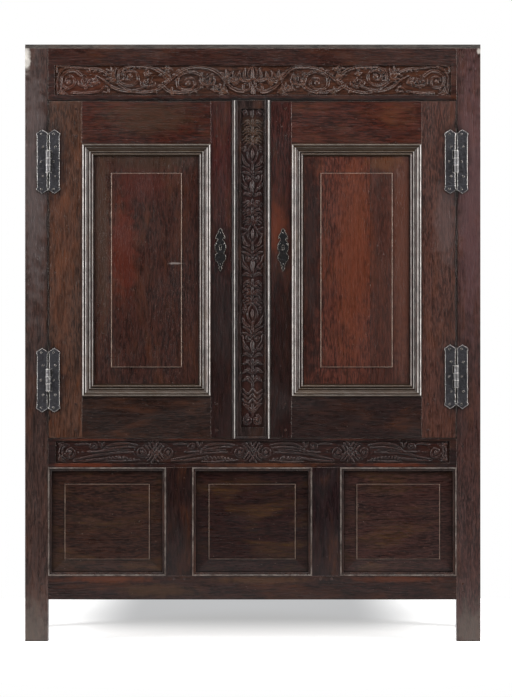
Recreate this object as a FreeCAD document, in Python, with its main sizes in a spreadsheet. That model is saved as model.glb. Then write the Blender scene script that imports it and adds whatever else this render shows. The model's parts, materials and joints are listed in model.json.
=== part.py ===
import FreeCAD, Part
import os
import re

# An oak press cupboard: two panelled doors on H hinges over three fixed panels, in pegged frame joinery.
# Millimetres, +Z up, front facing -Y, origin at the bottom centre of the case.

SIZES = {
    # Case
    "case_width": 1434,
    "case_depth": 560,
    "foot_height": 132,
    "bottom_rail_height": 74,
    "lower_opening_height": 342,
    "mid_rail_height": 91,
    "door_opening_height": 1065,
    "frieze_rail_height": 164,
    "top_board_thickness": 12,
    "top_board_count": 2,
    "board_gap": 0.5,
    # Front frame
    "left_stile_width": 72,
    "right_stile_width": 75,
    "stile_depth": 50,
    "rail_thickness": 32,
    "muntin_width": 121,
    "muntin_thickness": 45,
    "muntin_offset": 5,
    "left_post_width": 82,
    "left_post_place": 232,
    "right_post_width": 88,
    "right_post_place": 231,
    # Joints
    "tenon_thickness": 10,
    "tenon_face_depth": 11,
    "tenon_length": 38,
    "short_tenon_length": 26,
    "tenon_haunch": 12,
    "joint_fit": 0.1,
    "groove_depth": 10,
    "panel_tongue": 8,
    "tongue_end_gap": 2,
    # Raised panels
    "panel_rise": 3,
    "field_step": 2.5,
    "lower_panel_face_depth": 12,
    "lower_field_margin": 41,
    "door_panel_face_depth": 10,
    "door_field_margin": 53,
    "side_panel_face_depth": 8,
    "side_field_margin": 52,
    # Mouldings
    "lower_moulding_width": 11.5,
    "lower_moulding_height": 13.5,
    "door_moulding_width": 39,
    "door_moulding_height": 15,
    # Beads and sunk carved bands
    "muntin_bead_width": 11,
    "muntin_bead_height": 3,
    "muntin_quirk_width": 1.8,
    "muntin_line_width": 4.5,
    "muntin_line_height": 1.6,
    "foot_bead_radius": 3.2,
    "carving_depth": 4.5,
    "frieze_band_inset": 93,
    "frieze_band_height": 93,
    "frieze_band_rise": 17,
    "mid_band_inset": 96.5,
    "mid_band_height": 69,
    "mid_band_rise": 14,
    "strip_offset": 1,
    "strip_width": 71,
    "strip_height": 1004,
    "strip_rise": 35,
    # Sides and back
    "rear_stile_width": 32,
    "rear_stile_depth": 75,
    "side_rail_thickness": 26,
    "side_tenon_thickness": 8,
    "side_top_rail_height": 120,
    "rear_rail_thickness": 24,
    "rear_top_rail_height": 96,
    "back_board_thickness": 12,
    "rebate_width": 14,
    "back_board_count": 6,
    # Inside
    "floor_thickness": 14,
    "floor_drop": 6,
    "floor_board_count": 6,
    "bearer_thickness": 22,
    "bearer_height": 24,
    "shelf_height": 1176,
    "shelf_thickness": 18,
    "shelf_setback": 4,
    "shelf_board_count": 3,
    "stop_length": 60,
    "stop_reach": 12,
    "stop_hold": 22,
    "stop_thickness": 12,
    "stop_inset": 150,
    # Doors
    "door_thickness": 28,
    "door_side_gap": 2,
    "door_end_gap": 2.5,
    "door_rest_gap": 0.3,
    "left_hinge_stile_width": 105,
    "left_lock_stile_width": 64.5,
    "right_hinge_stile_width": 108,
    "right_lock_stile_width": 64.5,
    "door_top_rail_height": 134,
    "door_bottom_rail_height": 130,
    "door_tenon_thickness": 9,
    # H hinges
    "leaf_length": 202,
    "leaf_width": 32,
    "leaf_thickness": 3,
    "leaf_edge_gap": 3.2,
    "knuckle_length": 68,
    "barrel_radius": 7.5,
    "barrel_rest_gap": 0.3,
    "barrel_end_gap": 0.4,
    "notch_gap": 0.7,
    "door_notch_gap": 3.5,
    "pin_radius": 2.5,
    "pin_play": 0.05,
    "pin_stand": 1.5,
    "upper_hinge_drop": 193,
    "left_lower_hinge_rise": 184,
    "right_lower_hinge_rise": 195,
    # Locks
    "keyhole_height": 1245,
    "left_key_backset": 34.5,
    "right_key_backset": 38,
    "escutcheon_height": 134,
    "escutcheon_width": 35,
    "escutcheon_thickness": 1.6,
    "escutcheon_drop": 12,
    "keyhole_radius": 3.6,
    "keyhole_drop": 12,
    "keyhole_slot_width": 5,
    "lock_width": 56,
    "lock_height": 70,
    "lock_depth": 16,
    "lock_plate": 2,
    "lock_setback": 2,
    "lock_drop": 28,
    "bolt_rise": 17,
    "bolt_height": 16,
    "bolt_thickness": 6,
    "bolt_length": 44,
    "bolt_throw": 12,
    "bolt_play": 0.3,
    "bolt_seat_depth": 5,
    "talon_width": 7,
    "talon_height": 4,
    "mortise_play": 1,
    # Cutting tools run past the stock by this much
    "overrun": 1,
}

# Places worked out from the sizes, in order: each may use the ones before it.
PLACES = {
    "half_width": "case_width / 2",
    "front": "-case_depth / 2",
    "back": "case_depth / 2",
    "bottom_rail_low": "foot_height",
    "lower_low": "bottom_rail_low + bottom_rail_height",
    "lower_high": "lower_low + lower_opening_height",
    "door_low": "lower_high + mid_rail_height",
    "door_high": "door_low + door_opening_height",
    "stile_top": "door_high + frieze_rail_height",
    "case_top": "stile_top + top_board_thickness",
    "left_open": "-half_width + left_stile_width",
    "right_open": "half_width - right_stile_width",
    "muntin_left": "-muntin_offset - muntin_width / 2",
    "muntin_right": "muntin_left + muntin_width",
    "left_post_left": "-left_post_place - left_post_width / 2",
    "left_post_right": "left_post_left + left_post_width",
    "right_post_left": "right_post_place - right_post_width / 2",
    "right_post_right": "right_post_left + right_post_width",
    "rail_back": "front + rail_thickness",
    "stile_back": "front + stile_depth",
    "tenon_front": "front + tenon_face_depth",
    "tenon_back": "tenon_front + tenon_thickness",
    "rear_stile_front": "back - rear_stile_depth",
    "rear_stile_inner": "half_width - rear_stile_width",
    "board_front": "back - back_board_thickness",
    "rear_rail_front": "board_front - rear_rail_thickness",
    "rear_tenon_front": "rear_rail_front + (rear_rail_thickness - side_tenon_thickness) / 2",
    "rear_tenon_back": "rear_tenon_front + side_tenon_thickness",
    "side_rail_inner": "half_width - side_rail_thickness",
    "side_tenon_inner": "half_width - (side_rail_thickness + side_tenon_thickness) / 2",
    "side_tenon_outer": "side_tenon_inner + side_tenon_thickness",
    "side_panel_face": "half_width - side_panel_face_depth",
    "side_top_rail_low": "stile_top - side_top_rail_height",
    "rear_top_rail_low": "stile_top - rear_top_rail_height",
    "board_span": "rear_stile_inner + rebate_width - board_gap",
    "back_board_pitch": "2 * board_span / back_board_count",
    "top_board_pitch": "case_depth / top_board_count",
    "floor_top": "lower_low - floor_drop",
    "floor_low": "floor_top - floor_thickness",
    "floor_bearer_low": "floor_low - bearer_height",
    "floor_span": "side_rail_inner - board_gap",
    "floor_board_pitch": "2 * floor_span / floor_board_count",
    "shelf_low": "shelf_height - shelf_thickness",
    "shelf_bearer_low": "shelf_low - bearer_height",
    "shelf_front": "stile_back + shelf_setback",
    "shelf_span": "rear_stile_inner - board_gap",
    "shelf_board_pitch": "(board_front - shelf_front) / shelf_board_count",
    "shelf_bearer_inner": "rear_stile_inner - bearer_thickness",
    "stop_front": "front + door_thickness + door_rest_gap",
    "door_bottom": "door_low + door_end_gap",
    "door_top": "door_high - door_end_gap",
    "door_back": "front + door_thickness",
    "door_panel_low": "door_bottom + door_bottom_rail_height",
    "door_panel_high": "door_top - door_top_rail_height",
    "door_tenon_front": "front + tenon_face_depth",
    "door_tenon_back": "door_tenon_front + door_tenon_thickness",
    "hinge_axis_depth": "front - barrel_radius - barrel_rest_gap",
    "left_axis": "left_open + door_side_gap / 2",
    "right_axis": "right_open - door_side_gap / 2",
    "upper_hinge_level": "door_high - upper_hinge_drop",
    "left_lower_hinge_level": "door_low + left_lower_hinge_rise",
    "right_lower_hinge_level": "door_low + right_lower_hinge_rise",
    "barrel_length": "(knuckle_length + barrel_end_gap) / 3 - barrel_end_gap",
    "barrel_pitch": "barrel_length + barrel_end_gap",
    "left_lock_edge": "muntin_left - door_side_gap",
    "right_lock_edge": "muntin_right + door_side_gap",
    "lock_low": "keyhole_height - lock_drop",
    "lock_back": "door_back + lock_depth",
    "bolt_low": "keyhole_height + bolt_rise",
    "bolt_high": "bolt_low + bolt_height",
    "bolt_front": "door_back + bolt_seat_depth",
    "bolt_back": "bolt_front + bolt_thickness",
}

# Outlines as shares of the piece's own width and height. An entry of two pairs is an arc: through, to.
DOOR_MOULDING_SHARES = [
    (0, 0),
    (0, 0.76),
    ((0.085, 1), (0.17, 0.76)),
    (0.17, 0.67),
    ((0.23, 0.80), (0.285, 0.67)),
    (0.30, 0.64),
    ((0.40, 0.36), (0.58, 0.27)),
    (0.58, 0.38),
    (0.665, 0.38),
    (0.665, 0.20),
    (0.73, 0.20),
    (0.73, 0.27),
    ((0.82, 0.47), (0.91, 0.27)),
    (0.91, 0.13),
    (1, 0.13),
    (1, 0),
]
LOWER_MOULDING_SHARES = [
    (0, 0),
    (0, 0.93),
    (0.12, 1),
    (0.3, 1),
    (0.42, 0.93),
    (0.42, 0.78),
    (0.52, 0.78),
    ((0.86, 0.66), (1, 0.3)),
    (1, 0),
]
# Half of a hinge leaf's end, from the inner edge to the tip: share of the width, share of half the length.
LEAF_END_SHARES = [
    (0, 0.81),
    (-0.07, 0.84),
    (-0.05, 0.885),
    (0.5, 1),
    (1.05, 0.885),
    (1.07, 0.84),
    (1, 0.81),
]
# Right half of the escutcheon from its top tip down: half-width and height as shares, from its middle.
ESCUTCHEON_SHARES = [
    (0.12, 0.50),
    (0.30, 0.475),
    (0.38, 0.42),
    ((0.62, 0.37), (0.88, 0.28)),
    (0.78, 0.25),
    (0.62, 0.29),
    (0.45, 0.235),
    ((1.0, 0.06), (0.60, -0.07)),
    ((1.0, -0.17), (0.62, -0.28)),
    (0.38, -0.345),
    (0.40, -0.37),
    (0.18, -0.385),
    (0.28, -0.43),
    (0.12, -0.49),
    (0, -0.50),
]

BARREL_COUNT = 3
END_BARRELS = (0, 2)
MIDDLE_BARREL = (1,)
SIDES = {"left": -1, "right": 1}
LEVELS = ("upper", "lower")

doc = FreeCAD.newDocument("press_cupboard")
sheet = doc.addObject("Spreadsheet::Sheet", "sizes")
for row, (alias, number) in enumerate(SIZES.items(), start=1):
    sheet.set(f"A{row}", alias)
    sheet.set(f"B{row}", str(number))
    sheet.setAlias(f"B{row}", alias)
for row, (alias, formula) in enumerate(PLACES.items(), start=1):
    sheet.set(f"D{row}", alias)
    sheet.set(f"E{row}", "=" + formula)
    sheet.setAlias(f"E{row}", alias)
doc.recompute()

parts = {}


def value(alias):
    """The number that the sheet holds under this name."""
    return float(sheet.get(alias))


def bound(formula):
    """A formula in named sizes as an expression on the sheet."""
    return re.sub(r"[a-z][a-z_]*", lambda word: "sizes." + word.group(0), formula)


def place(item, x, y, z):
    """Bind an object's position to three formulas."""
    for axis, formula in zip("xyz", (x, y, z)):
        item.setExpression("Placement.Base." + axis, bound(formula))


def block(name, x, y, z):
    """A box between three pairs of faces, each face a formula in named sizes."""
    solid = doc.addObject("Part::Box", name)
    place(solid, x[0], y[0], z[0])
    for side, (low, high) in zip(("Length", "Width", "Height"), (x, y, z)):
        solid.setExpression(side, bound(f"({high}) - ({low})"))
    return solid


def rod(name, radius, length, x, y, z, turn=None):
    """A cylinder from a bound point, upright unless it is turned."""
    solid = doc.addObject("Part::Cylinder", name)
    solid.setExpression("Radius", bound(radius))
    solid.setExpression("Height", bound(length))
    if turn:
        solid.Placement.Rotation = turn
    place(solid, x, y, z)
    return solid


def grown(faces, margin):
    """The same pairs of faces, each moved outwards by a named margin."""
    return [(f"({low}) - {margin}", f"({high}) + {margin}") for low, high in faces]


def joined(name, solids):
    """Fuse solids into one."""
    if len(solids) == 1:
        return solids[0]
    fused = doc.addObject("Part::MultiFuse", name)
    fused.Shapes = solids
    fused.Refine = True
    return fused


def pierced(name, solid, tools):
    """Cut tools out of a solid."""
    if not tools:
        return solid
    cut = doc.addObject("Part::Cut", name)
    cut.Base = solid
    cut.Tool = joined(name + "_tools", tools)
    cut.Refine = True
    return cut


def keep(name, item):
    """Name a finished sub-part."""
    item.Label = name
    parts[name] = item
    return item


def group(name, items):
    """Finish several separate solids as one sub-part."""
    collection = doc.addObject("Part::Compound", name + "_set")
    collection.Links = items
    return keep(name, collection)


def mirrored(side, near, far):
    """A pair of faces on one side of the middle, from their distances to it."""
    return (near, far) if side > 0 else (f"-({far})", f"-({near})")


class Member:
    """A piece of joinery: its stock, the tenons added to it and the mortises and grooves cut in it."""

    def __init__(self, name, x, y, z, stock=None):
        self.name = name
        self.solids = [stock or block(name + "_stock", x, y, z)]
        self.tools = []

    def tenon(self, other, x, y, z):
        """Add a tenon and cut its mortise in the other member."""
        tag = f"{self.name}_in_{other.name}"
        self.solids.append(block(tag + "_tenon", x, y, z))
        other.tools.append(block(tag + "_mortise", *grown((x, y, z), "joint_fit")))

    def cut(self, tag, x, y, z):
        """Cut a box out of the member."""
        self.tools.append(block(f"{self.name}_{tag}", x, y, z))

    def finish(self):
        """Fuse, cut and name the member."""
        whole = joined(self.name + "_whole", self.solids)
        return keep(self.name, pierced(self.name + "_cut", whole, self.tools))


def sketch_on(body, role, name):
    """A sketch on one of the body's own origin planes."""
    plane = next(item for item in body.Origin.OriginFeatures if item.Role == role)
    sketch = body.newObject("Sketcher::SketchObject", name)
    sketch.AttachmentSupport = [(plane, "")]
    sketch.MapMode = "FlatFace"
    return sketch


def draw(sketch, steps):
    """Draw a closed outline from points and arcs; the last step joins the first."""
    pen = FreeCAD.Vector(*steps[0], 0)
    for step in steps[1:] + [steps[0]]:
        through = None
        if isinstance(step[0], tuple):
            through, step = step
        end = FreeCAD.Vector(*step, 0)
        if through:
            sketch.addGeometry(Part.Arc(pen, FreeCAD.Vector(*through, 0), end), False)
        elif end.distanceToPoint(pen) > 0:
            sketch.addGeometry(Part.LineSegment(pen, end), False)
        pen = end


def scaled(shares, width, height):
    """An outline in millimetres from its shares."""
    steps = []
    for step in shares:
        if isinstance(step[0], tuple):
            steps.append(tuple((u * width, v * height) for u, v in step))
        else:
            steps.append((step[0] * width, step[1] * height))
    return steps


def flipped(steps):
    """The mirror image of an outline's steps, run backwards."""
    back = []
    ends = [step[1] if isinstance(step[0], tuple) else step for step in steps]
    for index in range(len(steps) - 1, -1, -1):
        here = (-ends[index][0], ends[index][1])
        after = steps[index + 1] if index + 1 < len(steps) else None
        if after and isinstance(after[0], tuple):
            back.append(((-after[0][0], after[0][1]), here))
        else:
            back.append(here)
    return back


def padded(name, role, steps, length):
    """A body with one sketch padded by a bound length."""
    body = doc.addObject("PartDesign::Body", name)
    sketch = sketch_on(body, role, name + "_outline")
    draw(sketch, steps)
    pad = body.newObject("PartDesign::Pad", name + "_pad")
    pad.Profile = sketch
    pad.setExpression("Length", bound(length))
    return body


def level_pocket(body, role, outlines, depth, name):
    """Cut outlines into a body, half the depth to each side of the plane."""
    sketch = sketch_on(body, role, name + "_outline")
    for steps in outlines:
        draw(sketch, steps)
    pocket = body.newObject("PartDesign::Pocket", name)
    pocket.Profile = sketch
    pocket.SideType = "Symmetric"
    pocket.setExpression("Length", bound(depth))
    return pocket


def mitred_frame(name, shares, width, height, x, z, y):
    """Four mitred lengths of moulding inside an opening, their backs at y, as separate bodies."""
    across = value(width)
    profile = [(u, -v) if not isinstance(u, tuple) else ((u[0], -u[1]), (v[0], -v[1])) for u, v in shares]
    steps = scaled(profile, across, value(height))
    lengths = []
    corners = {
        "left": (0, (x[0], z[0]), z),
        "right": (180, (x[1], z[1]), z),
        "top": (90, (x[0], z[1]), x),
        "bottom": (-90, (x[1], z[0]), x),
    }
    for edge, (angle, corner, span) in corners.items():
        formula = f"({span[1]}) - ({span[0]})"
        body = padded(f"{name}_{edge}", "XY_Plane", steps, formula)
        doc.recompute()
        run = body.Shape.BoundBox.ZLength
        foot = [(0, 0), (across, 0), (across, across)]
        head = [(0, run), (across, run), (across, run - across)]
        level_pocket(body, "XZ_Plane", [foot, head], f"3 * {height}", f"{name}_{edge}_mitres")
        body.Placement.Rotation = FreeCAD.Rotation(FreeCAD.Vector(0, 1, 0), angle)
        place(body, corner[0], y, corner[1])
        lengths.append(body)
    return lengths


def raised_panel(name, x, z, face, margin, border, turn=None, origin=None):
    """A panel with a tongue all round, a bevel up to a raised field and a step at the field's edge.

    x and z are the pairs of faces of the sight opening and face is where the flat border lies. The bevel
    starts inside the border and ends at the field, which lies a margin inside the opening.
    """
    tongue = "(groove_depth - tongue_end_gap)"
    slab = block(
        name + "_slab",
        (f"({x[0]}) - {tongue}", f"({x[1]}) + {tongue}"),
        (face, f"({face}) + panel_tongue"),
        (f"({z[0]}) - {tongue}", f"({z[1]}) + {tongue}"),
    )
    bevel = doc.addObject("Part::Wedge", name + "_bevel")
    limits = {
        "Xmin": f"({x[0]}) + ({margin})",
        "Xmax": f"({x[1]}) - ({margin})",
        "Zmin": f"({z[0]}) + ({margin})",
        "Zmax": f"({z[1]}) - ({margin})",
        "Ymin": f"({face}) - panel_rise",
        "X2min": f"({x[0]}) + {border}",
        "X2max": f"({x[1]}) - {border}",
        "Z2min": f"({z[0]}) + {border}",
        "Z2max": f"({z[1]}) - {border}",
        "Ymax": face,
    }
    for limit, formula in limits.items():
        bevel.setExpression(limit, bound(formula))
    field = block(
        name + "_field",
        (limits["Xmin"], limits["Xmax"]),
        (f"({face}) - panel_rise - field_step", f"({face}) - panel_rise"),
        (limits["Zmin"], limits["Zmax"]),
    )
    panel = joined(name + "_whole", [slab, bevel, field])
    if turn:
        panel.Placement.Rotation = turn
        place(panel, *origin)
    return keep(name, panel)


def groove_for(members, x, y, z):
    """Plough the groove of one panel in the members around it."""
    for member in members:
        tag = f"groove_{len(member.tools)}"
        member.tools.append(block(f"{member.name}_{tag}", *grown((x, y, z), "joint_fit")))


# Front frame
frame_y = ("front", "rail_back")
tenon_y = ("tenon_front", "tenon_back")
full_height = ("0", "stile_top")
left_stile = Member("front_left_stile", ("-half_width", "left_open"), ("front", "stile_back"), full_height)
right_stile = Member("front_right_stile", ("right_open", "half_width"), ("front", "stile_back"), full_height)

rails = {
    "frieze_rail": ("door_high", "stile_top"),
    "mid_rail": ("lower_high", "door_low"),
    "bottom_rail": ("bottom_rail_low", "lower_low"),
}
front_rails = {}
for rail_name, rail_z in rails.items():
    rail = Member(rail_name, ("left_open", "right_open"), frame_y, rail_z)
    inset_z = (f"{rail_z[0]} + tenon_haunch", f"{rail_z[1]} - tenon_haunch")
    rail.tenon(left_stile, ("left_open - tenon_length", "left_open"), tenon_y, inset_z)
    rail.tenon(right_stile, ("right_open", "right_open + tenon_length"), tenon_y, inset_z)
    front_rails[rail_name] = rail

bands = {
    "frieze_rail": ("frieze_band_inset", "door_high + frieze_band_rise", "frieze_band_height"),
    "mid_rail": ("mid_band_inset", "lower_high + mid_band_rise", "mid_band_height"),
}
for rail_name, (band_inset, band_low, band_height) in bands.items():
    front_rails[rail_name].cut(
        "carved_ground",
        (f"-half_width + {band_inset}", f"half_width - {band_inset}"),
        ("front - overrun", "front + carving_depth"),
        (band_low, f"{band_low} + {band_height}"),
    )

# Centre muntin, with a bead and a fine line along each edge
muntin_half = value("muntin_width") / 2
muntin_deep = value("muntin_thickness")
bead = value("muntin_bead_width")
quirk_end = bead + value("muntin_quirk_width")
line_end = quirk_end + value("muntin_line_width")
bead_top = -value("muntin_bead_height")
line_top = -value("muntin_line_height")
line_middle = (quirk_end + line_end) / 2
muntin_steps = [
    (-muntin_half, muntin_deep),
    (-muntin_half, 0),
    ((-muntin_half + bead / 2, bead_top), (-muntin_half + bead, 0)),
    (-muntin_half + bead, -line_top),
    (-muntin_half + quirk_end, -line_top),
    (-muntin_half + quirk_end, 0),
    ((-muntin_half + line_middle, line_top), (-muntin_half + line_end, 0)),
]
muntin_stock = padded(
    "centre_muntin_stock", "XY_Plane", muntin_steps + flipped(muntin_steps), "door_opening_height"
)
place(muntin_stock, "-muntin_offset", "front", "door_low")
muntin = Member("centre_muntin", None, None, None, muntin_stock)
muntin.solids.append(
    rod(
        "centre_muntin_foot_bead",
        "foot_bead_radius",
        "muntin_width - 2 * muntin_bead_width",
        "muntin_left + muntin_bead_width",
        "front",
        "door_low + foot_bead_radius",
        FreeCAD.Rotation(FreeCAD.Vector(0, 1, 0), 90),
    )
)
tenon_x = ("muntin_left + tenon_haunch", "muntin_right - tenon_haunch")
muntin.tenon(front_rails["frieze_rail"], tenon_x, tenon_y, ("door_high", "door_high + tenon_length"))
muntin.tenon(front_rails["mid_rail"], tenon_x, tenon_y, ("door_low - tenon_length", "door_low"))
muntin.cut(
    "carved_ground",
    ("-strip_offset - strip_width / 2", "-strip_offset + strip_width / 2"),
    ("front - overrun", "front + carving_depth"),
    ("door_low + strip_rise", "door_low + strip_rise + strip_height"),
)
bolt_mortises = {
    "left": ("muntin_left - overrun", "muntin_left + bolt_throw"),
    "right": ("muntin_right - bolt_throw", "muntin_right + overrun"),
}
for side_name, mortise_x in bolt_mortises.items():
    muntin.cut(
        side_name + "_bolt_mortise",
        mortise_x,
        ("bolt_front - mortise_play", "bolt_back + mortise_play"),
        ("bolt_low - mortise_play", "bolt_high + mortise_play"),
    )

# Lower muntins
posts = {
    "lower_left_muntin": ("left_post_left", "left_post_right"),
    "lower_right_muntin": ("right_post_left", "right_post_right"),
}
lower_posts = {}
for post_name, post_x in posts.items():
    post = Member(post_name, post_x, frame_y, ("lower_low", "lower_high"))
    inset_x = (f"{post_x[0]} + tenon_haunch", f"{post_x[1]} - tenon_haunch")
    high_z = ("lower_high", "lower_high + short_tenon_length")
    low_z = ("lower_low - short_tenon_length", "lower_low")
    post.tenon(front_rails["mid_rail"], inset_x, tenon_y, high_z)
    post.tenon(front_rails["bottom_rail"], inset_x, tenon_y, low_z)
    lower_posts[post_name] = post

# Lower panels, each in grooves ploughed in the four members round it
lower_z = ("lower_low", "lower_high")
lower_face = "front + lower_panel_face_depth"
lower_rails = [front_rails["mid_rail"], front_rails["bottom_rail"]]
lower_openings = {
    "left": ("left_open", "left_post_left", left_stile, lower_posts["lower_left_muntin"]),
    "centre": ("left_post_right", "right_post_left", *lower_posts.values()),
    "right": ("right_post_right", "right_open", lower_posts["lower_right_muntin"], right_stile),
}
lower_mouldings = []
for bay, (bay_left, bay_right, left_neighbour, right_neighbour) in lower_openings.items():
    bay_margin = "lower_moulding_width + lower_field_margin"
    raised_panel(
        f"lower_{bay}_panel",
        (bay_left, bay_right),
        lower_z,
        lower_face,
        bay_margin,
        "lower_moulding_width",
    )
    groove_for(
        [left_neighbour, right_neighbour, *lower_rails],
        (f"{bay_left} - groove_depth", f"{bay_right} + groove_depth"),
        (lower_face, f"{lower_face} + panel_tongue"),
        ("lower_low - groove_depth", "lower_high + groove_depth"),
    )
    lower_mouldings += mitred_frame(
        f"lower_{bay}_moulding",
        LOWER_MOULDING_SHARES,
        "lower_moulding_width",
        "lower_moulding_height",
        (bay_left, bay_right),
        lower_z,
        lower_face,
    )
group("lower_panel_mouldings", lower_mouldings)

# Rear stiles, rebated for the back boards
rear_stiles = {}
for side_name, side in SIDES.items():
    stile = Member(
        f"rear_{side_name}_stile",
        mirrored(side, "rear_stile_inner", "half_width"),
        ("rear_stile_front", "back"),
        full_height,
    )
    stile.cut(
        "rebate",
        mirrored(side, "rear_stile_inner - overrun", "rear_stile_inner + rebate_width"),
        ("board_front", "back + overrun"),
        ("bottom_rail_low", "stile_top + overrun"),
    )
    rear_stiles[side_name] = stile

# Side frames
front_stiles = {"left": left_stile, "right": right_stile}
side_rails = {
    "top": ("side_top_rail_low", "stile_top"),
    "mid": ("lower_high", "door_low"),
    "bottom": ("bottom_rail_low", "lower_low"),
}
side_panels = {
    "upper": ("door_low", "side_top_rail_low", "mid", "top"),
    "lower": ("lower_low", "lower_high", "bottom", "mid"),
}
for side_name, side in SIDES.items():
    rail_x = mirrored(side, "side_rail_inner", "half_width")
    tenon_side_x = mirrored(side, "side_tenon_inner", "side_tenon_outer")
    rear = rear_stiles[side_name]
    fore = front_stiles[side_name]
    own_rails = {}
    fore_reach = ("stile_back - short_tenon_length", "stile_back")
    rear_reach = ("rear_stile_front", "rear_stile_front + short_tenon_length")
    for level, rail_z in side_rails.items():
        rail = Member(f"{side_name}_side_{level}_rail", rail_x, ("stile_back", "rear_stile_front"), rail_z)
        inset_z = (f"{rail_z[0]} + tenon_haunch", f"{rail_z[1]} - tenon_haunch")
        rail.tenon(fore, tenon_side_x, fore_reach, inset_z)
        rail.tenon(rear, tenon_side_x, rear_reach, inset_z)
        own_rails[level] = rail
    for level, (panel_low, panel_high, rail_under, rail_over) in side_panels.items():
        # The panel is drawn facing -Y and turned to face outwards.
        turn = FreeCAD.Rotation(FreeCAD.Vector(0, 0, 1), 90 * side)
        across = "(rear_stile_front - stile_back)"
        start_y = "stile_back" if side > 0 else "rear_stile_front"
        origin_x = "side_panel_face" if side > 0 else "-side_panel_face"
        raised_panel(
            f"{side_name}_side_{level}_panel",
            ("0", across),
            (panel_low, panel_high),
            "0",
            "side_field_margin",
            "0",
            turn,
            (origin_x, start_y, "0"),
        )
        groove_for(
            [fore, rear, own_rails[rail_under], own_rails[rail_over]],
            mirrored(side, "side_panel_face - panel_tongue", "side_panel_face"),
            ("stile_back - groove_depth", "rear_stile_front + groove_depth"),
            (f"{panel_low} - groove_depth", f"{panel_high} + groove_depth"),
        )
    for rail in own_rails.values():
        rail.finish()

# Rear rails and upright back boards
rear_rails = {"top": ("rear_top_rail_low", "stile_top"), "bottom": ("bottom_rail_low", "lower_low")}
for level, rail_z in rear_rails.items():
    rail = Member(
        f"rear_{level}_rail",
        ("-rear_stile_inner", "rear_stile_inner"),
        ("rear_rail_front", "board_front"),
        rail_z,
    )
    inset_z = (f"{rail_z[0]} + tenon_haunch", f"{rail_z[1]} - tenon_haunch")
    rear_tenon_y = ("rear_tenon_front", "rear_tenon_back")
    for side_name, side in SIDES.items():
        reach = mirrored(side, "rear_stile_inner", "rear_stile_inner + rebate_width")
        rail.tenon(rear_stiles[side_name], reach, rear_tenon_y, inset_z)
    rail.finish()

back_boards = []
for index in range(SIZES["back_board_count"]):
    board_low = f"-board_span + {index} * back_board_pitch"
    board_x = (board_low, f"{board_low} + back_board_pitch - board_gap")
    board_z = ("bottom_rail_low + board_gap", "stile_top")
    back_boards.append(block(f"back_board_{index}", board_x, ("board_front", "back"), board_z))
group("back_boards", back_boards)

top_boards = []
for index in range(SIZES["top_board_count"]):
    board_low = f"front + {index} * top_board_pitch"
    board_y = (board_low, f"{board_low} + top_board_pitch - board_gap")
    board_z = ("stile_top", "case_top")
    top_boards.append(block(f"top_board_{index}", ("-half_width", "half_width"), board_y, board_z))
group("top_boards", top_boards)

# Bottom boards run front to back on two bearers; the end ones are notched round the stiles
stile_notches = {
    0: [
        ("-half_width", "left_open", "front", "stile_back"),
        ("-half_width", "-rear_stile_inner", "rear_stile_front", "back"),
    ],
    SIZES["floor_board_count"] - 1: [
        ("right_open", "half_width", "front", "stile_back"),
        ("rear_stile_inner", "half_width", "rear_stile_front", "back"),
    ],
}
bottom_boards = []
board_y = ("rail_back", "rear_rail_front")
board_z = ("floor_low", "floor_top")
for index in range(SIZES["floor_board_count"]):
    board_low = f"-floor_span + {index} * floor_board_pitch"
    board_x = (board_low, f"{board_low} + floor_board_pitch - board_gap")
    board = block(f"bottom_board_{index}_stock", board_x, board_y, board_z)
    notches = []
    for number, (low_x, high_x, low_y, high_y) in enumerate(stile_notches.get(index, [])):
        faces = grown(((low_x, high_x), (low_y, high_y), board_z), "board_gap")
        notches.append(block(f"bottom_board_{index}_notch_{number}", *faces))
    bottom_boards.append(pierced(f"bottom_board_{index}", board, notches))
group("bottom_boards", bottom_boards)

floor_bearers = [
    block(
        "front_floor_bearer",
        ("left_open", "right_open"),
        ("rail_back", "rail_back + bearer_thickness"),
        ("floor_bearer_low", "floor_low"),
    ),
    block(
        "rear_floor_bearer",
        ("-rear_stile_inner", "rear_stile_inner"),
        ("rear_rail_front - bearer_thickness", "rear_rail_front"),
        ("floor_bearer_low", "floor_low"),
    ),
]
group("floor_bearers", floor_bearers)

# Shelf and its bearers
shelf_bearers = []
bearer_y = ("stile_back", "board_front")
bearer_z = ("shelf_bearer_low", "shelf_low")
for side_name, side in SIDES.items():
    bearer_x = mirrored(side, "shelf_bearer_inner", "rear_stile_inner")
    shelf_bearers.append(block(f"{side_name}_shelf_bearer", bearer_x, bearer_y, bearer_z))
group("shelf_bearers", shelf_bearers)
shelf_boards = []
board_x = ("-shelf_span", "shelf_span")
board_z = ("shelf_low", "shelf_height")
for index in range(SIZES["shelf_board_count"]):
    board_low = f"shelf_front + {index} * shelf_board_pitch"
    board_y = (board_low, f"{board_low} + shelf_board_pitch - board_gap")
    shelf_boards.append(block(f"shelf_board_{index}", board_x, board_y, board_z))
group("shelf_boards", shelf_boards)

# Door stops: a block behind the rail with a lip under its edge, two to a door
stop_x = {
    "left": ("muntin_left - stop_inset - stop_length", "muntin_left - stop_inset"),
    "right": ("muntin_right + stop_inset", "muntin_right + stop_inset + stop_length"),
}
stop_z = {
    "top": (("door_high - stop_reach", "door_high + stop_hold"), ("door_high - stop_reach", "door_high")),
    "bottom": (("door_low - stop_hold", "door_low + stop_reach"), ("door_low", "door_low + stop_reach")),
}
door_stops = []
for side_name, faces_x in stop_x.items():
    for level, (hold_z, lip_z) in stop_z.items():
        tag = f"{side_name}_{level}_stop"
        hold = block(tag + "_hold", faces_x, ("rail_back", "rail_back + stop_thickness"), hold_z)
        lip = block(tag + "_lip", faces_x, ("stop_front", "rail_back"), lip_z)
        door_stops.append(joined(tag, [hold, lip]))
group("door_stops", door_stops)

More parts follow.
